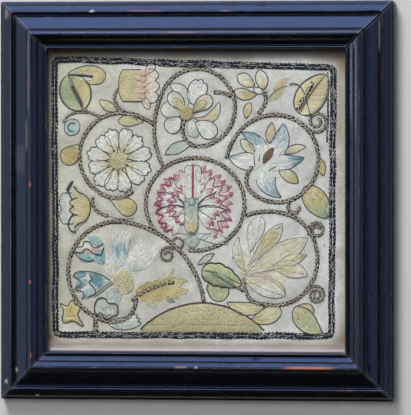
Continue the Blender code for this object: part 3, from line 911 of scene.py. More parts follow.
def coil_path(coil, points=160):
    """A coil's radius eases in from start_radius and out to end_radius, as in the solids."""
    share = np.linspace(0, 1, points)
    angle = np.radians(coil["start_deg"] + (coil["end_deg"] - coil["start_deg"]) * share)
    lead_in = np.clip(1 - share / coil["lead"], 0, None) ** 2
    run_out = np.clip((share - 1 + coil["tail"]) / coil["tail"], 0, None) ** 2
    reach = (coil["radius"] + (coil["start_radius"] - coil["radius"]) * lead_in
             + (coil["end_radius"] - coil["radius"]) * run_out)
    return around(coil["x"], coil["y"], reach, angle, coil["tall"])


def tendril_path(tendril, points=80):
    """A spiral whose radius eases from outer to inner as it turns."""
    share = np.linspace(0, 1, points)
    angle = np.radians(tendril["start_deg"] + tendril["turn_deg"] * share)
    reach = tendril["inner"] + (tendril["outer"] - tendril["inner"]) * (1 - share) ** 1.15
    return around(tendril["x"], tendril["y"], reach, angle)


def bent_path(start, bend, end, points=30):
    """A curve drawn towards bend: start (1 - t)**2 + bend 2t(1 - t) + end t**2."""
    share = np.linspace(0, 1, points)[:, None]
    return (np.array(start) * (1 - share) ** 2 + np.array(bend) * 2 * share * (1 - share)
            + np.array(end) * share**2)


def smooth_path(points, closed=False, each=8):
    """A curve through these points. Between b and c, with a before and d after, it is
    (2b + (c - a)t + (2a - 5b + 4c - d)t**2 + (3b - a - 3c + d)t**3) / 2."""
    points = np.array(points, dtype=float)
    ends = (points[-1:], points, points[:2]) if closed else (points[:1], points, points[-1:])
    padded = np.vstack(ends)
    a, b, c, d = padded[:-3], padded[1:-2], padded[2:-1], padded[3:]
    t = np.linspace(0, 1, each, endpoint=False)[:, None, None]
    curve = (2 * b + (c - a) * t + (2 * a - 5 * b + 4 * c - d) * t**2 + (3 * b - a - 3 * c + d) * t**3) / 2
    curve = curve.transpose(1, 0, 2).reshape(-1, 2)
    return np.vstack((curve, points[:1] if closed else points[-1:]))


def edging_path():
    """Round the four corners, each turned by a short arc, worked by eye so that it wavers."""
    corners = np.array(EDGING_CORNERS)
    path = []
    for index, corner in enumerate(corners):
        before = corners[index - 1] - corner
        after = corners[(index + 1) % 4] - corner
        before, onward = (way / np.linalg.norm(way) * EDGING_ROUND for way in (before, after))
        path += [corner + before * (1 - share) ** 2 + onward * share**2 for share in np.linspace(0, 1, 7)]
        path += [corner + after * share for share in np.linspace(0.04, 0.96, 60)]
    path = np.array(path)
    waver = [0.35 * drift(path[:, 0], path[:, 1], size, seed) for size, seed in ((26, 31), (24, 32))]
    return path + np.stack(waver, -1)


def stem_paths():
    """Every coiling stem, spiral tendril and short spray, each with its width."""
    paths = [(coil_path(named_row(COIL_COLUMNS, row)), STEM_WIDTH) for row in COILS.values()]
    for row in TENDRILS:
        tendril = named_row(TENDRIL_COLUMNS, row)
        paths.append((tendril_path(tendril), tendril["width"]))
    for row in SPRAYS.values():
        spray = named_row(SPRAY_COLUMNS, row)
        places = [(spray[f"{part}_x"], spray[f"{part}_y"]) for part in ("start", "bend", "end")]
        paths.append((bent_path(*places), spray["width"]))
    return paths


# The worked pattern

def work_stems(stems, lines):
    """Plaited gold and brown, with a broken dark line along each side."""
    for path, width in stem_paths():
        period = STEM_PERIOD * (0.25 + 0.75 * width / STEM_WIDTH)
        rise = STEM_RISE * (0.4 + 0.6 * width / STEM_WIDTH)
        braid(stems, path, "bark pale_gold old_gold", width, rise, period)
        beside = width * 0.53
        stem_stitch(lines, path, "bark", 0.5, 0.5, 2.9, (-beside, beside), lap=0.7)


def work_edging(edging):
    """Two dark braids side by side, flecked with grey, and a third row where one was gone over."""
    path = edging_path()

    def flecked(place):
        """Fewest pale flecks at the left, and most at the right."""
        return np.interp(place[:, 0], (-107, -95, 95, 100), (0.1, 0.3, 0.3, 0.45))

    for shift in (-1.15, 1.15):
        braid(edging, path, "indigo storm dusk", EDGING_WIDTH, EDGING_RISE, EDGING_PERIOD, shift, True,
              flecked)
    stem_stitch(edging, path, "indigo", 0.7, 0.6, 2.9, (-2.25, 2.25), True, 0.75)
    stem_stitch(edging, path, "storm", 0.5, 1.15, 3.1, (0.0,), True, 0.45)
    for start, bend, end in (
        ((-30.0, 102.3), (5.0, 101.4), (42.0, 100.0)),
        ((98.6, 97.0), (99.6, 70.0), (98.4, 44.0)),
    ):
        braid(edging, bent_path(start, bend, end), "bark storm dusk", 1.9, 0.9, 2.4, fleck=0.5)


LEAVES = {
    "beside_tulip": (-61.5, 68.0, -75.0, 76.0, 3.6, 0.9, 0.50, 0.8, "sage straw pearl"),
    "under_branch": (-41.5, 59.5, -61.0, 60.0, 4.0, -0.4, 0.62, 0.6, "sage straw straw"),
    "left_edge": (-91.5, 42.6, -103.6, 28.4, 7.0, 0.6, 0.64, 0.6, "ochre gold ochre"),
    "under_daisy": (-67.5, 1.0, -48.0, -9.5, 6.6, 0.8, 0.68, 0.5, "pearl straw ochre ochre"),
    "beside_narcissus": (-25.0, 34.5, -4.5, 43.5, 4.2, 1.0, 0.50, 0.85, "mist mist white"),
    "sprig_small": (36.8, 62.0, 40.0, 74.0, 3.0, 0.6, 0.55, 0.7, "blush straw pearl"),
    "right_small": (93.0, 31.5, 95.5, 18.5, 3.0, 0.0, 0.45, 0.75, "gold ochre"),
    "right_large": (81.0, 10.0, 99.0, -13.5, 8.8, 0.8, 0.46, 0.62, "ochre straw ochre sage teal"),
    "below_one": (50.5, -80.5, 22.5, -77.6, 4.9, 3.4, 0.46, 0.75, "straw cream straw"),
    "below_two": (63.0, -81.5, 41.5, -90.5, 6.2, 2.0, 0.42, 0.62, "sage cream straw ochre"),
    "middle_pale": (0.0, -49.0, 12.5, -40.5, 2.4, 0.0, 0.50, 0.9, "mist white"),
    "upper_left": (-99.5, 95.5, -71.0, 92.6, 7.0, 1.6, 0.66, 0.4, "sage straw ochre"),
}


def work_leaves(fills, lines):
    """The leaves between the coils and in the corners, and the bud."""
    work_petals(fills, lines, LEAVES.values(), outline_width=1.05)
    # The round leaf laps the one beside it in the top left corner, which has a pale wedge
    wedge = (-94.0, 92.6, -80.0, 92.0, 1.3, 0.0, 0.5, 0.8, "white white")
    work_petal(fills, lines, wedge, outlined=False, layer=1)
    stem_stitch(lines, [(-98.5, 95.0), (-90.0, 94.6), (-80.5, 93.6)], "slate", 0.8, 0.8,
                shifts=(0.0, 0.7), layer=1)
    round_leaf = (-88.0, 69.0, -99.0, 95.0, 12.0, 0.4, 0.50, 0.46, "sage green sage")
    work_petal(fills, lines, round_leaf, satin=True, layer=1, right_shades="straw ochre sage",
               outline_width=1.05, side_lobes=9, side_depth=0.03)
    stem_stitch(lines, [(-97.0, 87.5), (-93.0, 80.5), (-88.6, 72.5)], "slate", 0.8, 0.9,
                shifts=(-0.9, 0.1, 1.1), layer=1)
    knots(lines, -88.2, 70.2, 2.0, 8, "bark snow", 1.1)
    # The heart-shaped leaf, with its braided rib and a vein running on as a tendril
    heart = (78.0, 65.6, 97.6, 94.6, 11.2, 0.6, 0.42, 0.55, "ochre straw olive")
    work_petal(fills, lines, heart, outlined=False)
    work_petal(fills, lines, heart, satin=True, right_shades="cream straw straw", outline_width=1.1, layer=1)
    braid(lines, [(75.6, 68.4), (81.6, 78.6), (87.6, 89.4)], "indigo snow storm", 3.2, 1.2, 3.2, layer=2)
    for vein in (((69.5, 87.5), (78.5, 92.0), (83.0, 75.5)), ((83.0, 75.5), (84.8, 68.0), (86.5, 61.0))):
        stem_stitch(lines, bent_path(*vein), "slate", 0.7, 0.8, layer=2)
    # The long pink and yellow leaf, unlined but for its rib
    work_petals(fills, lines, (
        (53.4, 75.0, 66.5, 86.5, 2.9, -1.4, 0.45, 0.8, "straw sage"),
        (57.5, 82.5, 69.5, 92.8, 3.0, 0.9, 0.45, 0.8, "straw blush"),
    ), outlined=False)
    stem_stitch(lines, bent_path((54.0, 77.0), (59.0, 85.0), (68.0, 86.5)), "slate", 0.6, 0.7)
    # Leaves with lobed or ragged edges
    vine_lobe = (14.0, -55.0, 17.0, -77.0, 8.6, 0.0, 0.55, 0.5, "green sage sage straw")
    vine = (33.0, -64.5, 3.2, -53.5, 8.9, -1.2, 0.62, 0.42, "sage green sage")
    vine_heart = (27.5, -66.0, 11.0, -56.0, 3.8, 0.0, 0.5, 0.6, "teal green teal")
    barked = {"outline": "bark", "outline_width": 1.1}
    work_petal(fills, lines, vine_lobe, side_lobes=3, side_depth=0.12, **barked)
    work_petal(fills, lines, vine, satin=True, layer=1, right_shades="green sage straw", side_lobes=4,
               side_depth=0.16, **barked)
    work_petal(fills, lines, vine_heart, satin=True, outlined=False, layer=2)
    vine_rib = bent_path((35.0, -69.0), (25.0, -63.5), (12.0, -54.6))
    braid(lines, vine_rib, "bark pale_gold umber", 2.2, 1.0, 2.8, layer=2)
    ragged = (-47.5, -72.0, -7.0, -64.6, 8.4, 0.0, 0.26, 0.5, "ochre gold ochre straw")
    work_petal(fills, lines, ragged, open_tip=True, lobes=2, depth=0.2, crown=0.0, side_lobes=6,
               side_depth=0.24, toothed=True, outline="olive", outline_width=0.7)
    work_petals(fills, lines, (
        (-24.5, -61.0, -18.0, -50.3, 1.7, -0.8, 0.30, 0.8, "straw sage"),
        (-38.5, -73.5, -32.0, -82.0, 4.4, 0.0, 0.50, 0.6, "ochre straw mist"),
        (-25.0, -74.0, -17.5, -77.4, 2.3, 0.0, 0.50, 0.6, "teal mist"),
    ), outlined=False)
    low = (-68.5, -93.5, -44.0, -90.0, 4.8, -2.4, 0.50, 0.6, "mist mist white")
    work_petal(fills, lines, low, open_tip=True, lobes=3, depth=0.12, crown=0.05, toothed=True)
    # The two-lobed leaf in the lower right corner
    work_petals(fills, lines, (
        (75.5, -81.5, 88.0, -85.8, 5.4, 0.4, 0.60, 0.5, "sage straw ochre"),
        (74.6, -80.6, 94.6, -100.8, 7.6, -2.2, 0.42, 0.78, "straw sage straw", {"layer": 1}),
    ), outline_width=1.05)
    # The bud, curled over on its stem
    work_petal(fills, lines, (-93.0, 60.8, -99.8, 49.8, 5.9, 0.0, 0.5, 0.5, "mist ice aqua"))
    curl = tendril_path({"x": -96.6, "y": 55.4, "start_deg": 40, "turn_deg": 250, "outer": 3.6, "inner": 2.8})
    stem_stitch(lines, curl, "slate", 0.8, 0.8, layer=1)


def work_mound(fills, lines):
    """A low arc filled with upright stitches in bands of shade, as hills are worked."""
    left, right, foot, top = -44.0, 50.5, -101.3, -78.6

    def height_at(x):
        across = (x - left) / (right - left) * 2 - 1
        return (top - foot) * np.cos(across * math.pi / 2 * 0.98) ** 0.72

    x = np.arange(left + 1.5, right - 1.5, 0.62)
    height = height_at(x)
    rows = 4
    share = np.linspace(0, 1, STATIONS)
    stagger = RNG.uniform(-0.48, 0.48, (len(x), rows + 1))
    levels = np.clip(np.arange(rows + 1) + stagger, 0, rows) / rows
    levels[:, 0], levels[:, -1] = 0, 1
    low, high = levels[:, :-1], levels[:, 1:]
    rise_share = low[..., None] * (1 - share) + (high[..., None] + 0.03) * share
    y = foot + np.clip(rise_share, 0, 1) * height[:, None, None]
    course = np.stack((np.broadcast_to(x[:, None, None], y.shape), y), -1)
    level = y[..., 2]
    bands = (-101.0, -98.5, -95.6, -94.0, -92.0, -85.0, -79.0)
    mottled = level + RNG.uniform(-0.9, 0.9, level.shape)
    shade = between_shades("moss olive sage olive ochre straw straw", mottled, bands)
    shade *= 1 + RNG.uniform(-0.09, 0.09, (*level.shape, 1))
    keep = (high - low) * height[:, None] > 0.6
    fills.add(course[keep], 0.9, 0.24, shade[keep])
    stem_stitch(lines, [(left + 6, -94.3), (3.0, -94.0), (right - 8, -94.6)], "moss", 0.5, 0.45)
    ridge = np.linspace(left, right, 80)
    ridge = np.column_stack((ridge, foot + height_at(ridge) + 0.5))
    braid(lines, ridge, "bark umber slate", 1.9, 0.9, 2.6, fleck=0.5)


def work_daisy(fills, lines):
    """Twelve notched petals round a knotted disc."""
    x, y = -60.6, 30.2
    centre = np.array((x, y))
    for index in range(12):
        angle = math.radians(14 + 30 * index + RNG.uniform(-3, 3))
        way = np.array((math.cos(angle), math.sin(angle)))
        reach = 25.0 + RNG.uniform(-1.4, 1.6)
        row = (*(centre + way * 5.4), *(centre + way * reach), 6.4, RNG.uniform(-0.5, 0.5), 1.0, 1.0,
               "ochre cream white white white")
        work_petal(fills, lines, row, open_tip=True, lobes=2 + index % 2, depth=0.11, crown=0.26,
                   outline_width=1.15)
    work_petal(fills, lines, (x - 7, y, x + 7, y, 7.0, 0.0, 0.5, 0.5, "straw cream"), outlined=False, layer=1)
    knots(fills, x, y, 6.8, 46, "cream gold", layer=2)


def work_narcissus(fills, lines):
    """Loose petals, each its own shape and some curled over, about a ragged green knot."""
    over = {"layer": 1}
    inner = {"layer": 2, "outline": "smoke", "outline_width": 0.5}
    work_petals(fills, lines, (
        (-11.5, 65.5, -27.5, 71.5, 6.4, 0.6, 0.62, 0.5, "sage white pearl"),
        (-9.5, 68.0, -18.5, 88.5, 4.4, -4.4, 0.66, 0.65, "mist white white", {"hook": 3.0}),
        (-10.5, 67.5, -22.4, 80.5, 5.4, -1.2, 0.64, 0.5, "white pearl white", over),
        (-11.0, 67.5, -18.5, 77.5, 3.2, -0.6, 0.6, 0.6, "ochre straw straw", inner),
        (-13.5, 62.5, -23.5, 52.6, 6.2, 0.0, 0.62, 0.46, "snow white", over),
        (-4.5, 73.0, 3.0, 91.4, 7.0, 0.0, 0.50, 0.55, "white snow snow",
         {"open_tip": True, "lobes": 3, "depth": 0.09, "crown": 0.22, "outline_width": 1.1}),
        (-4.0, 66.0, 11.0, 77.6, 5.4, 1.0, 0.66, 0.55, "straw cream white", over),
        (-3.5, 66.5, 7.0, 74.5, 3.0, 1.0, 0.66, 0.6, "ochre straw", inner),
        (-3.0, 62.5, 17.0, 72.5, 3.6, -5.8, 0.60, 0.7, "blush straw pearl", {"hook": 2.0}),
        (-6.5, 62.0, -1.5, 47.5, 4.8, 0.0, 0.60, 0.6, "white mist", {"outline": "smoke"}),
        (-1.5, 59.0, 13.0, 48.0, 6.6, 1.0, 0.62, 0.5, "white snow", over),
        (-14.2, 66.0, -3.2, 66.0, 5.5, 0.0, 0.5, 0.5, "ochre olive straw", {"layer": 3, "outlined": False}),
    ))
    knots(fills, -8.7, 66.0, 5.0, 26, "straw gold", 1.0, layer=4)


def work_blue_lily(fills, lines):
    """Five slender petals, white at the heart, their curled tips blue, with pointed sepals between."""
    heart = (40.0, 31.0, 63.5, 29.5, 9.4, 0.0, 0.5, 0.5, "white mist white")
    work_petal(fills, lines, heart, outlined=False)
    work_petals(fills, lines, (
        (51.0, 30.0, 36.5, 53.0, 5.6, -2.6, 0.44, 0.75, "snow snow ice sky blue", {"hook": 3.6}),
        (54.0, 31.0, 66.6, 57.2, 6.6, -2.8, 0.44, 0.75, "snow snow ice ice sky", {"hook": 1.8}),
        (51.0, 28.5, 81.2, 31.2, 6.0, -1.4, 0.40, 0.85, "snow snow snow sky deep_blue", {"hook": 1.2}),
        (51.5, 30.0, 23.4, 32.6, 6.6, 1.8, 0.46, 0.85, "snow snow snow sky"),
        (53.0, 27.0, 60.4, 1.2, 7.2, -4.6, 0.36, 0.85, "white snow snow ice sky deep_blue", {"hook": 3.4}),
    ), open_base=14)
    work_petals(fills, lines, (
        (54.6, 43.4, 56.4, 58.8, 3.5, 0.0, 0.45, 0.75, "blush straw"),
        (43.4, 35.6, 33.0, 46.2, 3.6, 0.4, 0.50, 0.7, "straw pearl"),
        (66.2, 35.6, 82.4, 40.6, 3.0, 1.0, 0.45, 0.8, "straw pearl"),
        (61.8, 22.6, 76.2, 12.8, 4.3, 0.9, 0.52, 0.7, "pearl straw ochre"),
    ), outline_width=1.05)
    streak = (49.6, 28.0, 57.6, 40.0, 3.0, 0.0, 0.5, 0.9, "russet umber russet")
    work_petal(fills, lines, streak, outlined=False, layer=2)
    for dash in ([(47.5, 35.0), (46.5, 30.0)], [(43.0, 34.5), (43.4, 25.5)], [(60.0, 26.0), (54.0, 22.5)]):
        stem_stitch(lines, dash, "slate", 0.6, 0.6, layer=1)


CARNATION_CENTRE = np.array((-4.6, -5.0))
CARNATION_COLUMNS = ("inner", "outer", "petals", "half_width", "layer")
CARNATION_RINGS = ((10.0, 30.0, 6, 5.2, 0), (6.0, 19.5, 5, 3.8, 1))


def work_carnation_petal(fills, lines, ring, side, index):
    """One ragged petal of a fan, edged with crimson, and a soft crimson patch in one of its two
    teeth, or in both on the right."""
    wide, layer = ring["half_width"], ring["layer"]
    turn = 25 + index * (113 / (ring["petals"] - 1)) + RNG.uniform(-4, 4)
    angle = math.radians(90 - side * turn)
    way = np.array((math.cos(angle), math.sin(angle)))
    aside = np.array((-way[1], way[0]))
    farther = (side > 0) * 3.4
    reach = ring["outer"] * (1 - 0.05 * (index / ring["petals"])) + RNG.uniform(-2.2, 1.4) + farther
    tip = CARNATION_CENTRE + way * reach
    row = (*(CARNATION_CENTRE + way * ring["inner"]), *tip, wide, side * RNG.uniform(0.2, 1.6), 0.8, 0.8,
           "white snow white rose")
    edge = work_petal(fills, lines, row, outlined=False, open_tip=True, lobes=2, depth=0.22, crown=0.0,
                      toothed=True, layer=layer)
    stem_stitch(lines, edge[34:-34], "crimson", 0.6, 0.5, 1.5, layer=layer)
    stem_stitch(lines, edge[:30], "slate" if index % 2 else "russet", 0.65, 0.45, layer=layer)
    for tooth in ((-0.5, 0.5) if side > 0 and not layer else (RNG.choice((-0.5, 0.5)),)):
        point = tip + aside * tooth * wide * 1.1 - way * RNG.uniform(0.2, 1.6)
        root = point - way * RNG.uniform(3.6, 6.0) + aside * RNG.uniform(-1.5, 1.5)
        half = RNG.uniform(1.0, 1.6) * (1.1 if side > 0 else 0.9)
        patch = (*root, *point, half, 0.0, 0.62, 0.7, "white rose crimson rose")
        work_petal(fills, lines, patch, outlined=False, layer=layer + 1)


def work_carnation(fills, lines):
    """Two fans of ragged petals, white with crimson tips, either side of a tall calyx. The fan on
    the right has more crimson in it."""
    for values in CARNATION_RINGS:
        ring = named_row(CARNATION_COLUMNS, values)
        for side in (-1, 1):
            for index in range(ring["petals"]):
                work_carnation_petal(fills, lines, ring, side, index)
    # Wavering crimson lines follow the lobes
    sweep = np.radians(np.linspace(32, 140, 90))
    for side, ring, waves, swing, width in (
        (-1, 25.5, 7, 2.6, 0.9), (-1, 14.5, 6, 2.2, 0.8), (1, 25.0, 6, 2.6, 0.6),
    ):
        reach = ring + swing * np.sin(sweep * waves * 3.3 + side)
        path = np.column_stack((side * reach * np.sin(sweep), reach * np.cos(sweep)))
        stem_stitch(lines, CARNATION_CENTRE + path, "crimson", width, 0.5, 1.5, layer=2)
    middle = (-3.7, 0.5, -3.7, 27.5, 6.4, 0.0, 0.12, 0.5, "white snow white")
    edge = work_petal(fills, lines, middle, outlined=False, open_tip=True, lobes=3, depth=0.07, crown=0.1,
                      layer=2)
    stem_stitch(lines, edge[34:-34], "slate", 0.6, 0.45, layer=2)
    stem_stitch(lines, [(-3.7, 1.5), (-3.7, 26.8)], "crimson", 0.8, 0.6, 1.6, (-0.4, 0.4), layer=3)
    work_petals(fills, lines, (
        (-5.0, -25.2, -5.0, -1.2, 5.0, 0.0, 0.22, 0.5, "ochre cream mist mist ice",
         {"open_tip": True, "crown": 0.05, "layer": 3, "outline_width": 0.6}),
        (-5.0, -4.0, -4.6, 1.6, 2.6, 0.0, 0.5, 0.5, "mist ice", {"layer": 4, "outline_width": 0.5}),
    ), outline="smoke")
    # Two long dark lines arch out from the calyx through each fan
    for side in (-1, 1):
        for arch in (((4.6, -4.0), (9.0, 3.0), (19.0, 6.0)), ((4.6, -6.0), (12.0, -1.0), (27.0, -7.5))):
            curve = bent_path(*[(-4.8 + side * out, up) for out, up in arch])
            stem_stitch(lines, curve, "slate", 0.7, 0.6, layer=2)
    work_petals(fills, lines, (
        (-4.5, -27.0, -18.0, -26.0, 2.2, 1.2, 0.5, 0.8, "mist white"),
        (-4.5, -27.0, 10.0, -26.0, 2.2, -1.2, 0.5, 0.8, "mist white"),
        (-4.5, -26.5, -3.5, -36.0, 5.2, 0.0, 0.5, 0.6, "ice mist mist"),
        (2.0, -29.5, 23.0, -33.0, 4.0, 2.4, 0.55, 0.7, "white snow"),
    ), outline="smoke")


def work_yellow_lily(fills, lines):
    """Long pale ribbed petals fanned from one corner, their lines drawn fine."""
    work_petals(fills, lines, (
        (32.5, -57.0, 75.0, -44.0, 15.0, 0.0, 0.60, 0.6, "cream pearl pearl white"),
        (34.0, -57.0, 38.0, -30.0, 6.0, 0.0, 0.50, 0.6, "cream pearl white"),
        (36.0, -58.5, 68.0, -58.0, 9.0, 0.0, 0.45, 0.6, "cream pearl pearl"),
        (36.0, -54.0, 44.0, -28.0, 7.5, 0.0, 0.50, 0.6, "cream white white"),
    ), outlined=False)
    work_petals(fills, lines, (
        (36.5, -54.0, 30.5, -28.5, 3.6, 3.0, 0.50, 0.75, "straw pearl white"),
        (40.0, -40.0, 49.0, -12.8, 6.2, 1.6, 0.66, 0.6, "white white snow"),
        (37.5, -50.0, 64.5, -17.0, 5.6, -1.0, 0.64, 0.9, "white pearl ochre cream white"),
        (57.5, -51.0, 83.5, -57.0, 6.4, 2.0, 0.50, 0.8, "cream straw pearl white"),
        (57.0, -49.0, 83.0, -41.0, 4.0, -0.6, 0.58, 1.0, "pearl cream cream"),
        (36.0, -58.5, 66.5, -72.0, 6.4, -0.8, 0.50, 0.7, "cream white white"),
        (36.0, -56.5, 84.0, -28.2, 8.6, -0.8, 0.58, 0.95, "white cream pearl cream white"),
        (36.5, -57.0, 58.0, -60.0, 4.6, -0.6, 0.50, 0.75, "cream blush pearl", {"outline": "pearl"}),
        (55.5, -60.5, 67.0, -72.6, 3.4, 0.8, 0.50, 0.8, "straw cream"),
    ), outline="smoke", outline_width=0.5, layer=1)
    # Ribs along the petals, in turns of pale yellow and grey-green
    for start, bend, end, shade in (
        ((38, -56), (56, -45), (78, -31), "straw"), ((38, -57), (58, -50), (76, -35), "white"),
        ((37, -54), (54, -39), (72, -28), "white"), ((38, -52), (48, -38), (60, -26), "ochre"),
        ((37, -58), (48, -62), (60, -67), "sage"), ((38, -53), (42, -42), (38, -32), "straw"),
        ((42, -38), (46, -28), (47, -17), "smoke"), ((60, -52), (70, -52), (78, -56), "ochre"),
        ((36, -59), (52, -70), (66, -72), "smoke"), ((60, -50), (70, -44), (80, -42), "straw"),
    ):
        stem_stitch(lines, bent_path(start, bend, end), shade, 0.6, 0.5, layer=1)
    # The dark curled edge of the leftmost petal
    curl = bent_path((30.8, -27.5), (31.5, -36.0), (26.5, -44.0))
    for shift, shade in ((0.0, "slate"), (0.8, "smoke")):
        stem_stitch(lines, curl, shade, 0.8, 0.6, shifts=(shift,))


JAGGED_LINES = (
    ((-92.9, -36.0), (-88.3, -35.1), (-87.4, -31.7), (-83.6, -31.7), (-81.1, -35.1), (-77.7, -36.0),
     (-72.2, -33.0)),
    ((-94.6, -39.3), (-88.7, -40.2), (-86.2, -37.2), (-82.8, -38.5), (-79.4, -41.0), (-74.3, -41.5),
     (-71.8, -36.0)),
    ((-94.6, -39.8), (-90.4, -44.4), (-83.6, -46.5), (-79.4, -45.7)),
    ((-95.9, -58.4), (-92.9, -55.0), (-82.8, -54.6), (-73.5, -57.1), (-67.5, -61.3)),
    ((-82.8, -56.3), (-81.5, -60.5), (-83.2, -63.0), (-79.4, -67.3), (-78.6, -71.5), (-84.5, -73.8)),
    ((-95.5, -58.0), (-89.5, -62.2), (-90.4, -65.1), (-94.6, -68.1), (-88.7, -69.8), (-87.4, -73.2),
     (-89.1, -75.7)),
)
CURLED_EDGE = (
    (-79.4, -83.3), (-77.7, -76.6), (-73.5, -74.4), (-70.1, -75.8), (-68.4, -78.7), (-62.0, -79.5),
    (-61.6, -86.7), (-65.0, -88.4), (-68.4, -90.5), (-71.8, -89.7), (-74.3, -85.8), (-77.3, -87.5),
)


def work_blue_flower(fills, lines):
    """Ragged petals in bands of white and blue, others pale grey, round a dotted calyx."""
    between = (-60.0, -60.0, -61.0, -38.0, 12.0, 0.0, 0.50, 0.5, "mist white white")
    work_petal(fills, lines, between, outlined=False, open_tip=True, lobes=4, depth=0.3, toothed=True)
    work_petals(fills, lines, (
        (-60.5, -51.0, -57.5, -22.0, 7.4, 0.0, 0.60, 0.6, "mist sky sky white white", {"lobes": 5}),
        (-50.5, -54.0, -36.0, -33.0, 9.4, 0.0, 0.60, 0.6, "mist white white white", {"lobes": 5}),
        (-70.0, -48.5, -87.5, -31.5, 10.4, 0.0, 1.00, 0.8, "sky sky ice white white",
         {"lobes": 2, "toothed": False}),
        (-66.5, -61.5, -95.0, -65.0, 10.6, 0.0, 0.95, 0.8, "white sky ice white ice"),
        (-60.5, -68.0, -68.0, -78.5, 6.6, 0.0, 0.50, 0.5, "mist mist white"),
        (-69.4, -76.0, -70.4, -89.6, 7.4, 0.0, 0.20, 0.35, "mist mist white", {"layer": 1}),
    ), outlined=False, open_tip=True, lobes=3, depth=0.2, crown=0.0, toothed=True)
    # Soft patches of blue, and of white between the jagged lines
    work_petals(fills, lines, (
        (-92.5, -41.0, -79.5, -45.5, 3.0, -1.2, 0.5, 0.7, "aqua sky blue"),
        (-84.5, -28.5, -73.0, -34.0, 3.4, 0.4, 0.5, 0.7, "sky aqua"),
        (-92.0, -38.0, -73.0, -37.0, 2.5, -0.6, 0.5, 0.6, "white blush white"),
        (-78.0, -40.5, -72.0, -48.5, 3.6, 0.0, 0.5, 0.7, "blue sky ice"),
        (-81.0, -56.5, -75.0, -66.5, 4.2, 0.8, 0.5, 0.6, "blue blue sky"),
        (-95.0, -57.8, -85.5, -56.0, 2.4, -0.6, 0.5, 0.7, "sky blue"),
        (-93.5, -67.2, -84.5, -61.0, 3.0, 0.4, 0.5, 0.7, "blue aqua"),
        (-88.5, -74.8, -81.5, -67.5, 3.4, -0.6, 0.5, 0.7, "blue ice aqua"),
    ), outlined=False, layer=1)
    for number, corners in enumerate(JAGGED_LINES):
        stem_stitch(lines, smooth_path(corners), "slate", 0.8 if number in (1, 4) else 0.6, 0.6, layer=2)
    stem_stitch(lines, smooth_path(CURLED_EDGE, closed=True), "slate", 0.9, 0.7, layer=2)
    stem_stitch(lines, [(-79.6, -72.9), (-65.5, -62.4)], "smoke", 0.65, 0.55, shifts=(-0.9, 0.9), layer=1)
    calyx = (-52.5, -71.0, -62.0, -54.5, 7.4, 0.0, 0.35, 0.5, "straw cream straw")
    work_petal(fills, lines, calyx, outlined=False, open_tip=True, crown=0.2, layer=1)
    knots(fills, -57.3, -63.0, 7.6, 46, "pearl gold", 1.0, layer=2)


def work_tulip(fills, lines):
    """A cup with three lobes, and over its foot a green sheath with two, edged with pink barbs."""
    cup = (-44.0, 86.8, -29.4, 86.5, 13.0, 0.0, 0.1, 0.4, "blush blush pearl white")
    sheath = (-40.5, 87.0, -60.9, 87.0, 12.1, 0.0, 0.10, 0.5, "cream straw straw ochre")
    work_petal(fills, lines, cup, open_tip=True, lobes=3, depth=0.24, open_base=26)
    work_petal(fills, lines, sheath, open_tip=True, lobes=2, depth=0.04, crown=0.15, outline_width=0.8,
               layer=1, open_base=6)
    work_petals(fills, lines, (
        (-41.0, 96.0, -33.8, 103.6, 3.0, -0.6, 0.66, 0.5, "blush white"),
        (-42.5, 77.0, -37.6, 69.0, 3.0, 0.8, 0.5, 0.7, "blush white"),
    ))
    heights = (96.0, 92.0, 87.5, 83.0, 79.0)
    barbs = [(-39.0, y, -47.0, y - 1.0, 1.5, 0.0, 0.4, 0.9, "blush blush") for y in heights]
    work_petals(fills, lines, barbs, outlined=False, layer=2)
    y = np.linspace(98.0, 75.5, 60)
    stem_stitch(lines, np.column_stack((-42.0 + 1.5 * np.sin(y * 1.4), y)), "pink", 0.55, 0.6, 1.5, layer=2)


def work_bell(fills, lines):
    """A bell that opens to the left: a pale lip, two yellow sides that curl back, and its mouth."""
    bell_lip = (-95.0, -6.6, -106.4, -6.6, 11.8, 0.0, 0.1, 0.4, "white mist")
    mouth = (-81.6, -4.9, -98.8, -4.9, 6.6, 0.0, 0.4, 0.5, "ochre ochre straw cream")
    work_petal(fills, lines, bell_lip, open_tip=True, lobes=2, depth=0.2, crown=0.1, outline_width=1.0)
    work_petals(fills, lines, (
        (-81.8, -3.5, -95.3, 12.5, 4.8, 3.0, 0.42, 0.7, "ochre straw sage mist"),
        (-81.8, -7.0, -94.0, -23.8, 4.9, -3.0, 0.42, 0.7, "ochre straw straw mist"),
    ), outlined=False, layer=1)
    edge = work_petal(fills, lines, mouth, outlined=False, open_tip=True, lobes=2, depth=0.27, crown=0.1,
                      layer=1)
    stem_stitch(lines, edge[37:-37], "slate", 0.8, 0.7, layer=2)
    for corners, width in (
        (((-82.2, -5.0), (-83.2, 0.0), (-86.2, 3.6), (-91.8, 6.2), (-95.0, 10.4)), 0.8),
        (((-82.2, -5.0), (-83.0, -10.0), (-86.2, -15.9), (-91.6, -18.2), (-94.2, -21.4)), 0.8),
        (((-96.3, 0.6), (-98.6, 4.4), (-99.2, 7.5), (-96.1, 14.0)), 1.1),
        (((-95.6, -11.0), (-98.4, -15.2), (-99.4, -19.5), (-96.9, -23.5), (-93.6, -24.6)), 1.1),
    ):
        stem_stitch(lines, smooth_path(corners), "slate", width, 0.7, layer=2)
    curl = smooth_path(((-100.4, 6.6), (-98.8, 10.0), (-96.0, 14.2)))
    stem_stitch(lines, curl, "slate", 1.1, 0.9, shifts=(-0.5, 0.5), layer=2)
    stem_stitch(lines, bent_path((-77.0, -8.5), (-62.0, -16.5), (-49.0, -13.5)), "smoke", 0.6, 0.5)


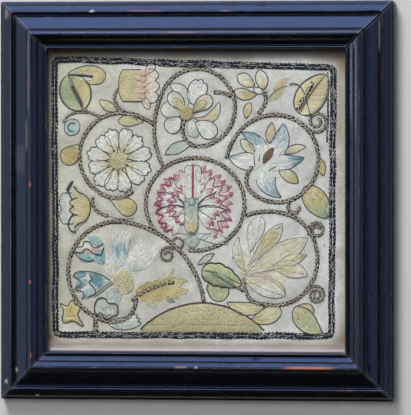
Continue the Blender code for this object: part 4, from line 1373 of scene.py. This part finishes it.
def work_sprig(fills, lines):
    """Four small open petals at the top edge."""
    work_petals(fills, lines, (
        (43.2, 86.3, 30.8, 94.8, 4.7, 0.0, 0.60, 0.55, "straw pearl white"),
        (45.0, 80.5, 28.4, 83.5, 4.3, 2.0, 0.60, 0.6, "straw ochre white"),
        (49.8, 84.0, 46.6, 98.4, 4.6, -0.6, 0.50, 0.55, "ochre pearl white"),
        (50.0, 81.5, 42.5, 84.3, 2.3, 0.0, 0.50, 0.7, "white white"),
    ), outline_width=1.15)


# The five-pointed flower's edge: the angle in degrees and the distance from its centre
STAR_EDGE = (
    (-252, 5.0), (-232, 6.8), (-221, 11.0), (-208, 6.2), (-175, 5.0), (-126, 9.4), (-82, 6.4), (-60, 8.2),
    (-46, 15.0), (-34, 8.4), (-12, 5.4), (34, 9.0), (58, 6.8), (80, 10.0), (108, 5.0),
)


def work_star(fills, lines):
    """The five-pointed flower in the corner, its threads worked outwards in two rows, and two lone
    knots on the ground."""
    x, y = -97.8, -86.0
    angles, reaches = np.array(STAR_EDGE, dtype=float).T
    for count, inner, outer, shade in ((30, 0.04, 0.6, "gold"), (64, 0.42, 0.97, "ochre")):
        turn = np.linspace(angles[0], angles[-1], count, endpoint=False)
        angle = np.radians(turn)[:, None]
        out = np.interp(turn, angles, reaches)[:, None] * np.linspace(inner, outer, STATIONS)
        out = out * RNG.uniform(0.94, 1.0, (count, 1))
        course = np.array((x, y)) + out[..., None] * np.stack((np.cos(angle), np.sin(angle)), -1)
        fills.add(course, 1.25, 0.4, shade_of(shade, count, 0.12))
    turn = np.linspace(angles[0], angles[-1], 120)
    stem_stitch(lines, around(x, y, np.interp(turn, angles, reaches), np.radians(turn)), "slate", 1.0, 0.6)
    for spot in ((82.7, -41.9), (96.2, -33.8)):
        knots(lines, *spot, 0.1, 1, "bark bark", 1.1)


# Stage

def make_floor():
    """A plain pale floor under the back of the frame."""
    material, _ = new_material("pale_studio_floor")
    with_sockets(material, {"Base Color": "#c9c8c5", "Roughness": 0.8})
    reach = 2500.0
    corners = [(-reach, -reach, 0), (reach, -reach, 0), (reach, reach, 0), (-reach, reach, 0)]
    floor = mesh_piece("floor", corners, [(0, 1, 2, 3)], material)


def add_light(name, place, size, radiance, colour, gloss=True, shade=True):
    """A flat soft light facing the panel. Its power follows from the brightness of its face. gloss
    and shade say whether it is seen in reflections and whether it lights matt surfaces."""
    light = bpy.data.lights.new(name, "AREA")
    light.shape = "RECTANGLE"
    light.size, light.size_y = size
    light.color = colour
    light.energy = radiance * math.pi * size[0] * size[1]
    holder = bpy.data.objects.new(name, light)
    bpy.context.scene.collection.objects.link(holder)
    holder.location = place
    aim = holder.location.copy()
    aim.negate()
    holder.rotation_euler = aim.to_track_quat("-Z", "Y").to_euler()
    holder.visible_glossy = gloss
    holder.visible_diffuse = shade


def make_lights():
    """A neutral key from the picture's top and a softer light overhead light the cloth. Bluish
    cards low at the top and the sides are what the black finish reflects."""
    add_light("key_light", (-0.75, 2.25, 1.75), (1.0, 0.8), 33.0, (1.0, 0.985, 0.955), gloss=False)
    add_light("overhead_light", (-0.3, 0.4, 2.6), (1.6, 1.6), 4.0, (0.98, 0.99, 1.0), gloss=False)
    add_light("sky_card", (0.0, 1.45, 1.1), (3.0, 1.7), 4.3, (0.31, 0.46, 1.0), shade=False)
    add_light("horizon_card", (0.0, 1.8, 0.2), (3.0, 0.7), 0.85, (0.38, 0.5, 1.0), shade=False)
    add_light("high_card", (0.0, 0.75, 1.7), (3.0, 0.7), 1.6, (0.33, 0.48, 1.0), shade=False)
    add_light("left_card", (-1.3, 0.0, 0.86), (2.6, 1.7), 1.15, (0.42, 0.57, 1.0), shade=False)
    add_light("right_card", (1.4, 0.2, 1.0), (1.6, 1.3), 0.85, (0.33, 0.44, 1.0), shade=False)
    world = bpy.data.worlds.new("dim_studio")
    bpy.context.scene.world = world
    world.use_nodes = True
    background = world.node_tree.nodes["Background"].inputs
    give(world.node_tree, background["Color"], "#1c1d20")
    give(world.node_tree, background["Strength"], 1.0)


def make_camera():
    """Above the face and a little to its right and top, far off, as the photograph was taken.
    The panel's middle comes at this pixel of a 411 by 415 picture, at this size."""
    wide, high = 411, 415
    middle = (195.5, 200.9)
    mm_per_pixel = 0.758
    distance, right_deg, up_deg, aim_height = 3.0, 6.5, 1.0, 0.016
    camera = bpy.data.cameras.new("camera")
    camera.sensor_width = 36.0
    camera.lens = camera.sensor_width * distance / (high * mm_per_pixel * MM)
    camera.shift_x = (wide / 2 - middle[0]) / high
    camera.shift_y = (middle[1] - high / 2) / high
    holder = bpy.data.objects.new("camera", camera)
    bpy.context.scene.collection.objects.link(holder)
    right, up = math.radians(right_deg), math.radians(up_deg)
    holder.location = (
        distance * math.cos(up) * math.sin(right),
        distance * math.sin(up),
        aim_height + distance * math.cos(up) * math.cos(right),
    )
    holder.rotation_euler = (-up, right, 0.0)
    bpy.context.scene.camera = holder


def main():
    """Makes every piece, gives each its material, and sets the stage."""
    make_camera()
    black = ebonised_pearwood()
    wide, high, gap = SIGHT_WIDTH, SIGHT_HEIGHT, MITRE_GAP
    for name, length, offset, turn, left, right, seed in (
        ("moulding_top", wide, high / 2, 0, gap["top_left"], gap["top_right"], 1),
        ("moulding_left", high, wide / 2, 90, gap["bottom_left"], gap["top_left"], 2),
        ("moulding_bottom", wide, high / 2, 180, gap["bottom_right"], gap["bottom_left"], 3),
        ("moulding_right", high, wide / 2, 270, gap["top_right"], gap["bottom_right"], 4),
    ):
        make_moulding(name, length, offset, turn, left, right, black, seed)
    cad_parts["backboard"].material_slots[0].material = sawn_pine()
    pull = nearness([path for path, _ in stem_paths()])
    ground = make_cloth(aged_linen(), pull)

    wool = crewel_wool()
    stems, stem_lines, edging = Workbasket(pull), Workbasket(pull), Workbasket(pull)
    work_stems(stems, stem_lines)
    work_edging(edging)
    leaf_fills, petal_fills, lines = Workbasket(pull), Workbasket(pull), Workbasket(pull)
    work_leaves(leaf_fills, lines)
    work_mound(leaf_fills, lines)
    for work_flower in (work_daisy, work_narcissus, work_blue_lily, work_carnation, work_yellow_lily,
                        work_blue_flower, work_tulip, work_bell, work_sprig, work_star):
        work_flower(petal_fills, lines)
    worked = [
        stems.work("plaited_stems", wool, sides=5),
        stem_lines.work("stem_edges", wool),
        edging.work("plaited_edging", wool, sides=4),
        leaf_fills.work("leaf_stitches", wool),
        petal_fills.work("petal_stitches", wool),
        lines.work("outline_stitches", wool),
    ]
    for piece in worked:
        print(piece.name, sum(len(face.vertices) - 2 for face in piece.data.polygons), "triangles")
    make_floor()
    make_lights()
    bpy.context.scene.view_settings.view_transform = "Standard"


main()
